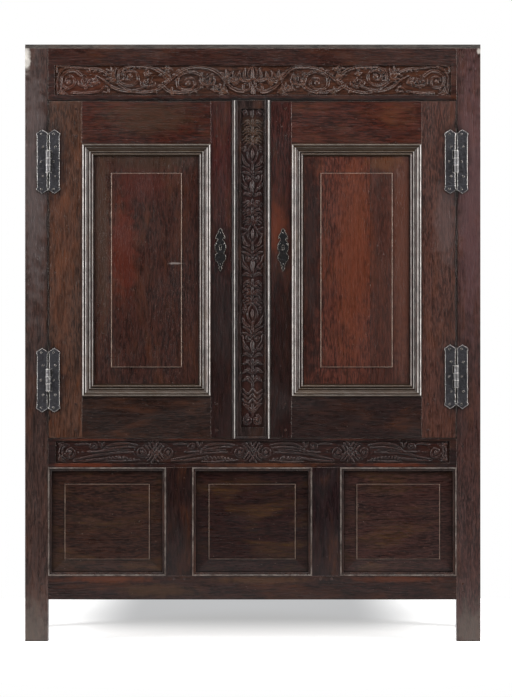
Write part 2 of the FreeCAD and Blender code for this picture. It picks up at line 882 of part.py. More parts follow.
for member in [left_stile, right_stile, muntin]:
    member.finish()
for members in (front_rails, lower_posts, rear_stiles):
    for member in members.values():
        member.finish()


def leaf_outline(outward):
    """The outline of a hinge leaf about the middle of its knuckle, on the side that outward points to."""
    edge = value("leaf_edge_gap")
    width = value("leaf_width")
    half = value("leaf_length") / 2
    top = [(outward * (edge + u * width), v * half) for u, v in LEAF_END_SHARES]
    return top + [(u, -v) for u, v in reversed(top)]


def hinge_leaf(name, outward, axis_x, level, own_barrels):
    """A leaf cut from plate, with its barrels rolled round the pin and room for the other leaf's."""
    plate = padded(name + "_plate", "XZ_Plane", leaf_outline(outward), "leaf_thickness")
    place(plate, axis_x, "front", level)
    solids = [plate]
    bore_low = f"{level} - knuckle_length / 2 - overrun"
    bore = rod(
        name + "_bore",
        "pin_radius + pin_play",
        "knuckle_length + 2 * overrun",
        axis_x,
        "hinge_axis_depth",
        bore_low,
    )
    tools = [bore]
    gap = "notch_gap" if own_barrels == END_BARRELS else "door_notch_gap"
    plate_y = ("front - leaf_thickness", "front")
    for index in range(BARREL_COUNT):
        low = f"{level} - knuckle_length / 2 + {index} * barrel_pitch"
        high = f"{low} + barrel_length"
        tag = f"{name}_barrel_{index}"
        if index in own_barrels:
            solids.append(rod(tag, "barrel_radius", "barrel_length", axis_x, "hinge_axis_depth", low))
            reach = (axis_x, f"{axis_x} + leaf_edge_gap + notch_gap")
            if outward < 0:
                reach = (f"{axis_x} - leaf_edge_gap - notch_gap", axis_x)
            solids.append(block(tag + "_tongue", reach, plate_y, (low, high)))
        else:
            tools.append(
                block(
                    tag + "_notch",
                    (f"{axis_x} - barrel_radius - {gap}", f"{axis_x} + barrel_radius + {gap}"),
                    ("hinge_axis_depth - barrel_radius", "front + overrun"),
                    (f"{low} - barrel_end_gap", f"{high} + barrel_end_gap"),
                )
            )
    return keep(name, pierced(name + "_cut", joined(name + "_whole", solids), tools))


def hinge_pin(name, axis_x, level):
    """A plain pin through the knuckle, standing a little out of both ends."""
    foot = f"{level} - knuckle_length / 2 - pin_stand"
    return rod(name, "pin_radius", "knuckle_length + 2 * pin_stand", axis_x, "hinge_axis_depth", foot)


# Doors
doors = {
    "left": {
        "outward": 1,
        "hinge_edge": "left_open + door_side_gap",
        "lock_edge": "left_lock_edge",
        "axis": "left_axis",
        "levels": ("upper_hinge_level", "left_lower_hinge_level"),
        "backset": "left_key_backset",
    },
    "right": {
        "outward": -1,
        "hinge_edge": "right_open - door_side_gap",
        "lock_edge": "right_lock_edge",
        "axis": "right_axis",
        "levels": ("upper_hinge_level", "right_lower_hinge_level"),
        "backset": "right_key_backset",
    },
}
pins = []
for side_name, door in doors.items():
    outward = door["outward"]
    sign = "+" if outward > 0 else "-"
    back_sign = "-" if outward > 0 else "+"
    hinge_inner = f"{door['hinge_edge']} {sign} {side_name}_hinge_stile_width"
    lock_inner = f"{door['lock_edge']} {back_sign} {side_name}_lock_stile_width"

    def span(hinge_face, lock_face):
        """A pair of faces in rising order, from the hinge side's and the lock side's."""
        return (hinge_face, lock_face) if outward > 0 else (lock_face, hinge_face)

    door_y = ("front", "door_back")
    door_z = ("door_bottom", "door_top")
    door_tenon_y = ("door_tenon_front", "door_tenon_back")
    hinge_x = span(door["hinge_edge"], hinge_inner)
    lock_x = span(lock_inner, door["lock_edge"])
    hinge_stile = Member(f"{side_name}_door_hinge_stile", hinge_x, door_y, door_z)
    lock_stile = Member(f"{side_name}_door_lock_stile", lock_x, door_y, door_z)
    door_rails = {
        "top": ("door_panel_high", "door_top"),
        "bottom": ("door_bottom", "door_panel_low"),
    }
    rail_members = []
    for level, rail_z in door_rails.items():
        rail = Member(f"{side_name}_door_{level}_rail", span(hinge_inner, lock_inner), door_y, rail_z)
        inset_z = (f"{rail_z[0]} + tenon_haunch", f"{rail_z[1]} - tenon_haunch")
        hinge_reach = span(f"{hinge_inner} {back_sign} tenon_length", hinge_inner)
        lock_reach = span(lock_inner, f"{lock_inner} {sign} tenon_length")
        rail.tenon(hinge_stile, hinge_reach, door_tenon_y, inset_z)
        rail.tenon(lock_stile, lock_reach, door_tenon_y, inset_z)
        rail_members.append(rail)
    panel_x = span(hinge_inner, lock_inner)
    panel_z = ("door_panel_low", "door_panel_high")
    door_face = "front + door_panel_face_depth"
    door_margin = "door_moulding_width + door_field_margin"
    raised_panel(f"{side_name}_door_panel", panel_x, panel_z, door_face, door_margin, "door_moulding_width")
    groove_for(
        [hinge_stile, lock_stile, *rail_members],
        (f"{panel_x[0]} - groove_depth", f"{panel_x[1]} + groove_depth"),
        (door_face, f"{door_face} + panel_tongue"),
        ("door_panel_low - groove_depth", "door_panel_high + groove_depth"),
    )
    mouldings = mitred_frame(
        f"{side_name}_moulding",
        DOOR_MOULDING_SHARES,
        "door_moulding_width",
        "door_moulding_height",
        panel_x,
        panel_z,
        door_face,
    )
    group(f"{side_name}_door_moulding", mouldings)

    # Hinges: the frame leaf has the end barrels and the door leaf the middle one
    for level, height in zip(LEVELS, door["levels"]):
        hinge_leaf(f"{side_name}_{level}_frame_leaf", -outward, door["axis"], height, END_BARRELS)
        hinge_leaf(f"{side_name}_{level}_door_leaf", outward, door["axis"], height, MIDDLE_BARREL)
        pins.append(hinge_pin(f"{side_name}_{level}_pin", door["axis"], height))

    # Keyhole through the escutcheon and the lock stile
    key_x = f"{door['lock_edge']} {back_sign} {door['backset']}"
    hole_y = ("front - door_thickness / 2", "front + 1.5 * door_thickness")
    eye = rod(
        f"{side_name}_keyhole_eye",
        "keyhole_radius",
        "2 * door_thickness",
        key_x,
        hole_y[1],
        "keyhole_height",
        FreeCAD.Rotation(FreeCAD.Vector(1, 0, 0), 90),
    )
    slot = block(
        f"{side_name}_keyhole_slot",
        (f"{key_x} - keyhole_slot_width / 2", f"{key_x} + keyhole_slot_width / 2"),
        hole_y,
        ("keyhole_height - keyhole_drop", "keyhole_height"),
    )
    hole = [eye, slot]
    lock_stile.tools += hole
    half_plate = scaled(ESCUTCHEON_SHARES, value("escutcheon_width") / 2, value("escutcheon_height"))
    whole_plate = half_plate + flipped(half_plate)[1:]
    plate = padded(f"{side_name}_escutcheon_plate", "XZ_Plane", whole_plate, "escutcheon_thickness")
    place(plate, key_x, "front", "keyhole_height - escutcheon_drop")
    keep(f"{side_name}_escutcheon", pierced(f"{side_name}_escutcheon_cut", plate, hole))
    for member in [hinge_stile, lock_stile, *rail_members]:
        member.finish()

    # Lock case: an iron box screwed to the back of the stile, open towards it
    case_edge = f"{door['lock_edge']} {back_sign} lock_setback"
    case_far = f"{case_edge} {back_sign} lock_width"
    case_x = span(case_far, case_edge)
    case_z = ("lock_low", "lock_low + lock_height")
    shell = block(f"{side_name}_lock_shell", case_x, ("door_back", "lock_back"), case_z)
    hollow = block(
        f"{side_name}_lock_hollow",
        (f"{case_x[0]} + lock_plate", f"{case_x[1]} - lock_plate"),
        ("door_back - overrun", "lock_back - lock_plate"),
        ("lock_low + lock_plate", "lock_low + lock_height - lock_plate"),
    )
    bolt_y = ("bolt_front", "bolt_back")
    bolt_z = ("bolt_low", "bolt_high")
    mouth_x = span(f"{case_edge} {back_sign} 2 * lock_plate", f"{case_edge} {sign} overrun")
    mouth = block(f"{side_name}_bolt_mouth", *grown((mouth_x, bolt_y, bolt_z), "bolt_play"))
    open_case = pierced(f"{side_name}_lock_open", shell, [hollow, mouth])
    bolt_tail = f"{case_edge} {back_sign} bolt_length"
    rib = block(
        f"{side_name}_lock_rib",
        span(bolt_tail, f"{bolt_tail} {sign} 2 * lock_plate"),
        ("bolt_front", "lock_back - lock_plate / 2"),
        ("bolt_low - bolt_play - lock_plate", "bolt_low - bolt_play"),
    )
    keep(f"{side_name}_lock_case", joined(f"{side_name}_lock_whole", [open_case, rib]))

    # Bolt, withdrawn at rest, with the notch that the key throws it by
    bolt = Member(f"{side_name}_lock_bolt", span(bolt_tail, case_edge), bolt_y, bolt_z)
    bolt.cut(
        "talon",
        (f"{key_x} - talon_width / 2", f"{key_x} + talon_width / 2"),
        ("bolt_front - overrun", "bolt_back + overrun"),
        ("bolt_low - overrun", "bolt_low + talon_height"),
    )
    bolt.finish()
group("hinge_pins", pins)

doc.recompute()

for item in doc.Objects:
    if "Invalid" in item.State or "Error" in item.State:
        raise RuntimeError(f"{item.Label} did not compute: {item.State}")
for name, item in parts.items():
    if item.Shape.isNull() or not item.Shape.isValid():
        raise RuntimeError(f"{name} has no valid shape")

os.makedirs("parts", exist_ok=True)
for name, item in parts.items():
    item.Shape.exportStep(f"parts/{name}.step")
print(len(parts), "sub-parts")
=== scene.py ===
"""Looks of an oak press cupboard: dark waxed oak, shallow carving, forged hinges, studio light."""

import json
import logging
import math
from dataclasses import dataclass
from enum import Enum
from typing import Iterable, Optional, Sequence

import bpy
import numpy as np
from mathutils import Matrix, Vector

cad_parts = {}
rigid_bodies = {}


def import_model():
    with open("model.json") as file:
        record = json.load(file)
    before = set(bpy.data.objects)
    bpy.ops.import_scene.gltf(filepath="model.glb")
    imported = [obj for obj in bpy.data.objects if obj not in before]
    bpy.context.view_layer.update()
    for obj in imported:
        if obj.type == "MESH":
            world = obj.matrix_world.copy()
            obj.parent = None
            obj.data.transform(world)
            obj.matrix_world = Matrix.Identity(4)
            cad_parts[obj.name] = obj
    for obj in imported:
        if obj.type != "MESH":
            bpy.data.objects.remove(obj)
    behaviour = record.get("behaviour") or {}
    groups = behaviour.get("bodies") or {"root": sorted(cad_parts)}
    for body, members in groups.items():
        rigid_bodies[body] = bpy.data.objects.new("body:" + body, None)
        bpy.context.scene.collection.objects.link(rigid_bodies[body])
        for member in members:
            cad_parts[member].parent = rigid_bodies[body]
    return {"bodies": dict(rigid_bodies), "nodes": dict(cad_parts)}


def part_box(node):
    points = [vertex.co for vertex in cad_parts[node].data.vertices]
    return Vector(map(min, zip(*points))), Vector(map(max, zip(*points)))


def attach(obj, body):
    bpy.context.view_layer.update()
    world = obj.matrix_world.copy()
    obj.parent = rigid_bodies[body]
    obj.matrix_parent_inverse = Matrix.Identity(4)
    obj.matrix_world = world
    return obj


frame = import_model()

MM = 0.001
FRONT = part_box("mid_rail")[0].y
Pair = tuple[float, float]
Triple = tuple[float, float, float]
Colour = tuple[float, float, float, float]
Node = bpy.types.Node
Socket = bpy.types.NodeSocket
log = logging.getLogger("press_cupboard")


class Grain(Enum):
    """Which way the fibres of a board run, as the object axis that they follow."""

    ACROSS = 0
    DEEP = 1
    UPRIGHT = 2


class Tone(Enum):
    """What tones a layer of the wood's figure."""

    SHADE = "the body colour, darker"
    SHINE = "the body colour, lighter"
    WARM = "the warm colour"
    RUBBED = "the colour of rubbed wood"


class Cut(Enum):
    """The shapes that a carver's gouges leave standing."""

    STEM = "stem"
    CURL = "curl"
    LEAF = "leaf"
    BUD = "bud"


class HeadShape(Enum):
    """What stands proud of the surface at a fixing."""

    DOME = "dome"
    PEG = "peg"


def linear(hex_colour: str, share: float = 1.0) -> Colour:
    """Turn a written sRGB colour into the linear values that Blender mixes.

    Args:
        hex_colour: the colour, as in "#46312c".
        share: how much of its light is kept; above one it is lighter.

    Returns:
        Red, green, blue and alpha.
    """
    parts = []
    for start in (1, 3, 5):
        part = int(hex_colour[start : start + 2], 16) / 255
        bright = part / 12.92 if part <= 0.04045 else ((part + 0.055) / 1.055) ** 2.4
        parts.append(min(bright * share, 1.0))
    return (parts[0], parts[1], parts[2], 1.0)


def add(
    tree: bpy.types.NodeTree,
    kind: str,
    inputs: Optional[dict[str | int, object]] = None,
    **settings: object,
) -> Node:
    """Add one node, with its settings, its input values and its links.

    Args:
        tree: the tree that takes the node.
        kind: the node's type.
        inputs: for each socket's name or number, a value, a socket or a node whose first output is meant.
        **settings: the node's own properties.

    Returns:
        The new node.
    """
    node = tree.nodes.new(kind)
    for name, setting in settings.items():
        setattr(node, name, setting)
    for key, given in (inputs or {}).items():
        if isinstance(given, Node):
            given = given.outputs[0]
        if isinstance(given, Socket):
            tree.links.new(given, node.inputs[key])
        else:
            node.inputs[key].default_value = given
    return node


def show(name: str, data: bpy.types.ID) -> bpy.types.Object:
    """Put something into the scene, unmoved, as an object of its own.

    Args:
        name: the object's name.
        data: its mesh, lamp or camera.

    Returns:
        The object.
    """
    item = bpy.data.objects.new(name, data)
    bpy.context.scene.collection.objects.link(item)
    return item


@dataclass(frozen=True)
class Patch:
    """A place on the front, in metres, that differs in tone or carries painted shade or sheen: in the wood
    itself, or on top of it.
    """

    x: float
    z: float
    reach_x: float
    reach_z: float
    colour: str
    strength: float
    on_top: bool = True


@dataclass(frozen=True)
class Ring:
    """The middle, half-width and half-height of what lines run round, and how strongly painted highlight and
    shade lines show on level lengths.
    """

    x: float
    z: float
    half_width: float
    half_height: float
    level_share: float
    mitred: bool

    @classmethod
    def of(cls, node: str, level_share: float = 0.55, mitred: bool = False) -> "Ring":
        """The ring that follows a node's front outline.

        Args:
            node: the node's name.
            level_share: how strongly the painted lines show on the level lengths.
            mitred: whether the grain turns at the corners.

        Returns:
            The ring.
        """
        low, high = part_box(node)
        middle = (low + high) / 2
        half = (high - low) / 2
        return cls(middle.x, middle.z, half.x, half.z, level_share, mitred)


@dataclass(frozen=True)
class Crest:
    """A painted highlight along a bead's top, or painted shade along a groove of a moulding: its place and
    half-width in millimetres.
    """

    place: float
    half: float
    strength: float
    groove: bool = False


@dataclass(frozen=True)
class Layer:
    """One layer of the wood's figure: its streaks across and along the grain, in mm, and its tone.

    The limits are the noise at which it starts to show and at which it shows in full. Turns, where given,
    folds the noise into that many growth rings.
    """

    thick: float
    run: float
    limits: Pair
    detail: float
    warp: float
    tone: Tone
    strength: float
    turns: float = 0.0


@dataclass(frozen=True)
class Dent:
    """A small height that the mesh is too coarse for, with its full depth in millimetres."""

    height: Node
    depth: float
    strength: float
    sunk: bool = False


class Surface:
    """A material being made: its tree, its colour so far, and what its patterns follow."""

    # Blender's numbers for the sockets of a Mix node that mixes colours, and of one that mixes vectors
    COLOUR_A = 6
    COLOUR_B = 7
    COLOUR_OUT = 2
    VECTOR_A = 4
    VECTOR_B = 5
    VECTOR_OUT = 1
    SOFT = "SMOOTHSTEP"

    def __init__(self, name: str, body: str) -> None:
        """Start a material with its ground colour.

        Args:
            name: the real finish that the material shows.
            body: the ground colour, as sRGB hex.
        """
        self.material = bpy.data.materials.new(name)
        self.material.use_nodes = True
        self.tree = self.material.node_tree
        self.tree.nodes.clear()
        self.place = self.node("TexCoord").outputs["Object"]
        self.parts = self.node("SeparateXYZ", {0: self.place}).outputs
        self.colour: Colour | Socket = linear(body)
        self.rounded: Optional[Node] = None

    def node(self, kind: str, inputs: Optional[dict[str | int, object]] = None, **settings: object) -> Node:
        """Add a shader node to the material, as add does.

        Args:
            kind: the node's type, without Blender's first word for it.
            inputs: its input values and links.
            **settings: its own properties.

        Returns:
            The new node.
        """
        return add(self.tree, "ShaderNode" + kind, inputs, **settings)

    def spots(
        self, place: Socket, size_mm: Triple, limits: Pair, detail: float = 2.0, warp: float = 0.0
    ) -> Node:
        """A mask of soft spots or streaks of a real size.

        Args:
            place: the coordinates, in metres.
            size_mm: the spots' size along each axis, in millimetres.
            limits: where the noise starts to count and where it counts in full.
            detail: octaves of finer noise.
            warp: how much the spots are pulled about.

        Returns:
            The node that gives the mask, from zero to one.
        """
        spread = tuple(1 / (size * MM) for size in size_mm)
        scaled = self.node("VectorMath", {0: place, 1: spread}, operation="MULTIPLY")
        noise = {"Vector": scaled, "Scale": 1.0, "Detail": detail, "Distortion": warp}
        cloud = self.node("TexNoise", noise).outputs["Fac"]
        span = {"Value": cloud, "From Min": limits[0], "From Max": limits[1]}
        return self.node("MapRange", span, interpolation_type=self.SOFT)

    def stain(self, colour: str, mask: Node, strength: float, share: float = 1.0) -> None:
        """Lay a colour over the one so far.

        Args:
            colour: the colour on top, as sRGB hex.
            mask: the node that says where it goes.
            strength: how much of it shows where the mask is full.
            share: how much of the colour's light is kept.
        """
        amount = self.node("Math", {0: mask, 1: strength}, operation="MULTIPLY")
        both = {0: amount, self.COLOUR_A: self.colour, self.COLOUR_B: linear(colour, share)}
        self.colour = self.node("Mix", both, data_type="RGBA").outputs[self.COLOUR_OUT]

    def nearer(self, depth: float) -> Node:
        """A mask of what lies nearer the front than a depth."""
        return self.node("Math", {0: self.parts[1], 1: depth}, operation="LESS_THAN")

    def away(self, part: Socket, middle: float) -> Node:
        """How far a coordinate is from a place, to either side."""
        off = self.node("Math", {0: part, 1: middle}, operation="SUBTRACT")
        return self.node("Math", {0: off}, operation="ABSOLUTE")

    def arris(self, full: float) -> Node:
        """A mask of the edges, where the rounded surface turns away from the flat one.

        Args:
            full: the cosine of the turn at which the mask is full.

        Returns:
            The node that gives the mask, from zero to one.
        """
        flat = self.node("NewGeometry").outputs["Normal"]
        turn = self.node("VectorMath", {0: self.rounded, 1: flat}, operation="DOT_PRODUCT").outputs["Value"]
        span = {"Value": turn, "From Min": 0.99, "From Max": full}
        return self.node("MapRange", span, interpolation_type=self.SOFT)

    def soften_edges(self, radius_mm: float) -> None:
        """Let the light see the edges rounded."""
        self.rounded = self.node("Bevel", {"Radius": radius_mm * MM}, samples=4)

    def finish(self, gloss: Node, dents: Iterable[Dent], shine: dict[str, float]) -> bpy.types.Material:
        """Add the dents and the shader.

        Args:
            gloss: the node that gives the roughness.
            dents: the small heights, the broadest first.
            shine: numbers for the shader's other sockets.

        Returns:
            The material.
        """
        normal = self.rounded
        for dent in dents:
            depth = {"Height": dent.height, "Distance": dent.depth * MM, "Strength": dent.strength}
            normal = self.node("Bump", {**depth, "Normal": normal}, invert=dent.sunk)
        looks = {"Base Color": self.colour, "Roughness": gloss, "Normal": normal, **shine}
        self.close(self.node("BsdfPrincipled", looks))
        return self.material

    def close(self, shader: Node) -> None:
        """Make a shader the material's own."""
        self.node("OutputMaterial", {0: shader})


@dataclass(frozen=True)
class WaxedOak:
    """Oak darkened by age and wax: brown-black pores and figure, soft sheen, arrises worn paler with painted
    highlights, and painted shade in the hollows.
    """

    name: str
    body: str
    grain: Grain
    warm: str = "#55301c"
    # The pale colour of worn arrises, which also paints their highlights, and how strongly it shows
    wear_and_highlight: str = "#97857a"
    wear_and_highlight_strength: float = 0.7
    roughness: float = 0.25
    sheen: float = 0.5
    round_mm: float = 1.4
    ring: Optional[Ring] = None
    crests: tuple[Crest, ...] = ()
    seams: tuple[float, ...] = ()
    seam_axis: Grain = Grain.ACROSS
    seam_colour: str = "#2c1813"
    patches: tuple[Patch, ...] = ()
    carved: bool = False
    proud_y: Optional[float] = None

    def material(self) -> bpy.types.Material:
        """Build the finish."""
        return OakSurface(self).build()


class OakSurface(Surface):
    """Waxed oak being made, from the bare board to its worn edges, painted highlights and painted shade."""

    # Old wax and dirt in the joints, and painted shade in corners, grooves and carved grounds, nearly black
    GRIME_AND_SHADE = "#120b09"
    SHARES = {Tone.SHADE: 0.28, Tone.SHINE: 2.4, Tone.WARM: 1.0, Tone.RUBBED: 1.0}
    FIGURE = {
        # Wide clouds, which darken the board where the wax lies thick
        "cloud": Layer(150, 300, (0.36, 0.64), 4.0, 0.6, Tone.SHADE, 0.8),
        # Brown flames, which warm it
        "glow": Layer(55, 176, (0.46, 0.66), 4.0, 0.5, Tone.WARM, 0.48),
        # Pale fibres, then dark and light flecks that run with them
        "fibre": Layer(3.6, 70, (0.38, 0.66), 3.0, 0.0, Tone.SHINE, 0.42),
        "mottle": Layer(12, 60, (0.4, 0.62), 5.0, 0.2, Tone.SHADE, 0.62),
        "speck": Layer(4, 20, (0.42, 0.62), 3.0, 0.1, Tone.SHINE, 0.6),
        "ring": Layer(60, 560, (0.0, 1.0), 1.0, 0.3, Tone.SHADE, 0.15, turns=40.0),
        # Short bright medullary rays, by which oak is known
        "ray": Layer(6, 24, (0.62, 0.74), 2.0, 0.4, Tone.SHINE, 0.5),
        # Oak's real pores are finer than a pixel, so they are drawn about three times as coarse
        "pore": Layer(1.2, 16, (0.54, 0.66), 1.0, 0.0, Tone.SHADE, 0.45),
        # Knocks of three centuries, paler than the wax
        "nick": Layer(5, 5, (0.70, 0.76), 3.0, 1.0, Tone.RUBBED, 0.35),
    }
    RAGGED_MM = 22.0
    PLANE_MM = 46.0
    WAX_COAT = 0.24
    # Marks that the photograph shows lie no deeper than this behind the case's front
    MARK_REACH = 16 * MM
    # How far ambient occlusion looks for the corners that take painted shade
    GRIME_AND_SHADE_REACH = 9 * MM
    CREST_CORE = 0.4
    SEAM = 0.8 * MM
    NOISE_BETWEEN_PIECES = 7.0
    NOISE_BETWEEN_BOARDS = 1.7

    def __init__(self, look: WaxedOak) -> None:
        """Find what the patterns follow.

        Args:
            look: the finish to make.
        """
        super().__init__(look.name, look.body)
        self.look = look
        self.colours = {tone: look.body for tone in Tone}
        self.colours.update({Tone.WARM: look.warm, Tone.RUBBED: look.wear_and_highlight})
        self.level: Optional[Node] = None
        self.across: Node | Socket = self.parts[0]
        if look.ring:
            from_side = self.inside(0, look.ring.x, look.ring.half_width)
            from_end = self.inside(2, look.ring.z, look.ring.half_height)
            self.level = self.node("Math", {0: from_side, 1: from_end}, operation="GREATER_THAN")
            self.across = self.node("Math", {0: from_side, 1: from_end}, operation="MINIMUM")
        self.grain = self.grain_place()
        self.ragged = self.spots(self.grain, (self.RAGGED_MM,) * 3, (0.3, 0.7), 4.0)
        self.marked = self.nearer(FRONT + self.MARK_REACH)
        self.soften_edges(look.round_mm)

    def inside(self, axis: int, middle: float, half: float) -> Node:
        """How far inside the ring's outline a point lies, along one axis.

        Args:
            axis: the axis.
            middle: the ring's middle on it.
            half: the ring's half-size on it.

        Returns:
            The node that gives the distance, in metres.
        """
        return self.node("Math", {0: half, 1: self.away(self.parts[axis], middle)}, operation="SUBTRACT")

    def grain_place(self) -> Socket:
        """Coordinates that differ from board to board and turn at a mitre.

        Returns:
            The coordinates, in metres.
        """
        place = self.place
        if self.level and self.look.ring.mitred:
            x, y, z = self.parts
            turned = self.node("CombineXYZ", {0: z, 1: y, 2: x})
            both = {0: self.level, self.VECTOR_A: place, self.VECTOR_B: turned}
            place = self.node("Mix", both, data_type="VECTOR").outputs[self.VECTOR_OUT]
        chance = self.node("ObjectInfo").outputs["Random"]
        shift = self.node("Math", {0: chance, 1: self.NOISE_BETWEEN_PIECES}, operation="MULTIPLY")
        for seam in self.look.seams:
            step = {0: self.beyond(seam), 1: self.NOISE_BETWEEN_BOARDS, 2: shift}
            shift = self.node("Math", step, operation="MULTIPLY_ADD")
        moved = self.node("CombineXYZ", {0: shift, 1: shift, 2: shift})
        return self.node("VectorMath", {0: place, 1: moved}, operation="ADD").outputs[0]

    def beyond(self, seam: float) -> Node:
        """A mask of the boards past a joint."""
        across = self.parts[self.look.seam_axis.value]
        return self.node("Math", {0: across, 1: seam}, operation="GREATER_THAN")

    def along(self, thick: float, run: float) -> Triple:
        """The size on each axis of streaks that run with the grain.

        Args:
            thick: their size across the grain.
            run: their size along it.

        Returns:
            The three sizes.
        """
        sizes = [thick] * 3
        sizes[self.look.grain.value] = run
        return (sizes[0], sizes[1], sizes[2])

    def figure(self) -> dict[str, Node]:
        """Colour the wood by the layers of its figure.

        Returns:
            Each layer's mask, which the gloss and the dents follow too.
        """
        masks = {}
        for name, layer in self.FIGURE.items():
            size = self.along(layer.thick, layer.run)
            mask = self.spots(self.grain, size, layer.limits, layer.detail, layer.warp)
            if layer.turns:
                turns = self.node("Math", {0: mask, 1: layer.turns}, operation="MULTIPLY")
                wave = self.node("Math", {0: turns}, operation="SINE")
                mask = self.node("MapRange", {"Value": wave, "From Min": 0.2, "From Max": 1.0})
            masks[name] = mask
        for name, layer in self.FIGURE.items():
            self.stain(self.colours[layer.tone], masks[name], layer.strength, self.SHARES[layer.tone])
        return masks

    def boards(self) -> None:
        """Tone the boards of a node one by one, and draw the joints between them."""
        for number, seam in enumerate(self.look.seams):
            self.stain(self.look.body if number % 2 else self.look.seam_colour, self.beyond(seam), 0.5)
        for seam in self.look.seams:
            far = self.away(self.parts[self.look.seam_axis.value], seam)
            joint = self.node("Math", {0: far, 1: self.SEAM}, operation="LESS_THAN")
            self.stain(self.GRIME_AND_SHADE, joint, 0.9)

    def mark(self, on_top: bool) -> None:
        """Tone the patches that the photograph shows, each fading out with an uneven edge.

        Args:
            on_top: whether to lay those on top of the figure or those under it.
        """
        for patch in self.look.patches:
            if patch.on_top is not on_top:
                continue
            reach = (1 / patch.reach_x, 0.0, 1 / patch.reach_z)
            middle = (patch.x, 0.0, patch.z)
            moved = self.node("VectorMath", {0: self.place, 1: middle}, operation="SUBTRACT")
            shares = self.node("VectorMath", {0: moved, 1: reach}, operation="MULTIPLY")
            far = self.node("VectorMath", {0: shares}, operation="LENGTH").outputs["Value"]
            uneven = self.node("Math", {0: self.ragged, 1: -0.5, 2: far}, operation="MULTIPLY_ADD")
            span = {"Value": uneven, "From Min": 1.0, "From Max": 0.1}
            faded = self.node("MapRange", span, interpolation_type=self.SOFT)
            mask = self.node("Math", {0: faded, 1: self.marked}, operation="MULTIPLY")
            self.stain(patch.colour, mask, patch.strength)

    def wear_and_painted_light(self) -> None:
        """Make the worn arrises pale, as painted highlights too, paint highlights on the proud parts, and
        paint shade with old wax into the corners and the carved ground.
        """
        air = self.node("AmbientOcclusion", {"Distance": self.GRIME_AND_SHADE_REACH}, samples=4).outputs["AO"]
        airy = self.node("MapRange", {"Value": air, "From Min": 0.5, "From Max": 0.92})
        broken = self.node("MapRange", {"Value": self.ragged, "To Min": 0.2, "To Max": 1.0})
        # Worn arrises, painted pale enough to stand for their highlights
        worn = self.node("Math", {0: self.arris(0.84), 1: airy}, operation="MULTIPLY")
        worn = self.node("Math", {0: worn, 1: broken}, operation="MULTIPLY")
        # Level lengths catch less of the side lamps, so their painted highlight is halved
        if self.level:
            spared = self.node("MapRange", {"Value": self.level, "To Min": 1.0, "To Max": 0.5})
            worn = self.node("Math", {0: worn, 1: spared}, operation="MULTIPLY")
        self.stain(self.look.wear_and_highlight, worn, self.look.wear_and_highlight_strength)
        # A painted highlight on the proud tops, partly their worn paling
        if self.look.proud_y is not None:
            proud = self.nearer(self.look.proud_y)
            proud_highlight = self.node("Math", {0: proud, 1: broken}, operation="MULTIPLY")
            self.stain(self.look.wear_and_highlight, proud_highlight, 0.36)
        # Painted shade, with old wax, in the corners that ambient occlusion finds
        shade_and_old_wax = self.node("Math", {0: 1.0, 1: airy}, operation="SUBTRACT")
        self.stain(self.GRIME_AND_SHADE, shade_and_old_wax, 0.7)
        if self.look.carved:
            rise = self.node("Attribute", attribute_name="rise").outputs["Fac"]
            # Painted shade in the carving's sunk ground
            low = self.node("MapRange", {"Value": rise, "From Min": 0.35, "From Max": 0.0})
            self.stain(self.GRIME_AND_SHADE, low, 0.3)
            high = self.node("MapRange", {"Value": rise, "From Min": 0.7, "From Max": 1.0})
            top = self.node("Math", {0: high, 1: self.ragged}, operation="MULTIPLY")
            self.stain(self.look.wear_and_highlight, top, 0.08)

    def paint_bead_lines(self) -> None:
        """Paint highlights along the tops of the beads and shade along the grooves between them."""
        shown = self.node("MapRange", {"Value": self.ragged, "To Min": 0.55, "To Max": 1.0})
        # Fainter on level lengths, which catch less of the side lamps
        if self.level:
            full = {"Value": self.level, "To Min": 1.0, "To Max": self.look.ring.level_share}
            shown = self.node("Math", {0: shown, 1: self.node("MapRange", full)}, operation="MULTIPLY")
        shown = self.node("Math", {0: shown, 1: self.marked}, operation="MULTIPLY")
        for crest in self.look.crests:
            half = crest.half * MM
            far = self.away(self.across, crest.place * MM)
            span = {"Value": far, "From Min": half, "From Max": half * self.CREST_CORE}
            line = self.node("MapRange", span, interpolation_type=self.SOFT)
            mask = self.node("Math", {0: line, 1: shown}, operation="MULTIPLY")
            # Painted shade in a groove, a painted highlight on a crest
            self.stain(self.GRIME_AND_SHADE if crest.groove else self.look.wear_and_highlight, mask, crest.strength)

    def build(self) -> bpy.types.Material:
        """Lay everything over the board, and finish it with the marks of the plane and the open pores.

        Returns:
            The material.
        """
        look = self.look
        self.mark(on_top=False)
        masks = self.figure()
        self.boards()
        self.mark(on_top=True)
        # Painted shade: the level lengths of a mitred moulding darker, as the side lamps miss them
        if self.level and look.ring.mitred:
            self.stain(look.warm, self.level, 0.62, self.SHARES[Tone.SHADE])
        self.wear_and_painted_light()
        if look.crests:
            self.paint_bead_lines()
        waxed = {"Value": masks["cloud"], "To Min": look.roughness, "To Max": look.roughness + 0.12}
        gloss = {0: masks["fibre"], 1: 0.08, 2: self.node("MapRange", waxed)}
        gloss = self.node("Math", gloss, operation="MULTIPLY_ADD")
        planed = self.spots(self.grain, self.along(self.PLANE_MM, self.PLANE_MM * 3), (0.2, 0.8), 1.0)
        pitted = {0: masks["pore"], 1: -0.6, 2: masks["fibre"]}
        pitted = {0: masks["nick"], 1: -1.0, 2: self.node("Math", pitted, operation="MULTIPLY_ADD")}
        pitted = self.node("Math", pitted, operation="MULTIPLY_ADD")
        dents = (Dent(planed, 0.7, 1.0), Dent(pitted, 0.22, 0.8))
        wax = {"Coat Weight": self.WAX_COAT * look.sheen, "Coat Roughness": 0.16}
        return self.finish(gloss, dents, {"IOR": 1.5, "Specular IOR Level": look.sheen, **wax})


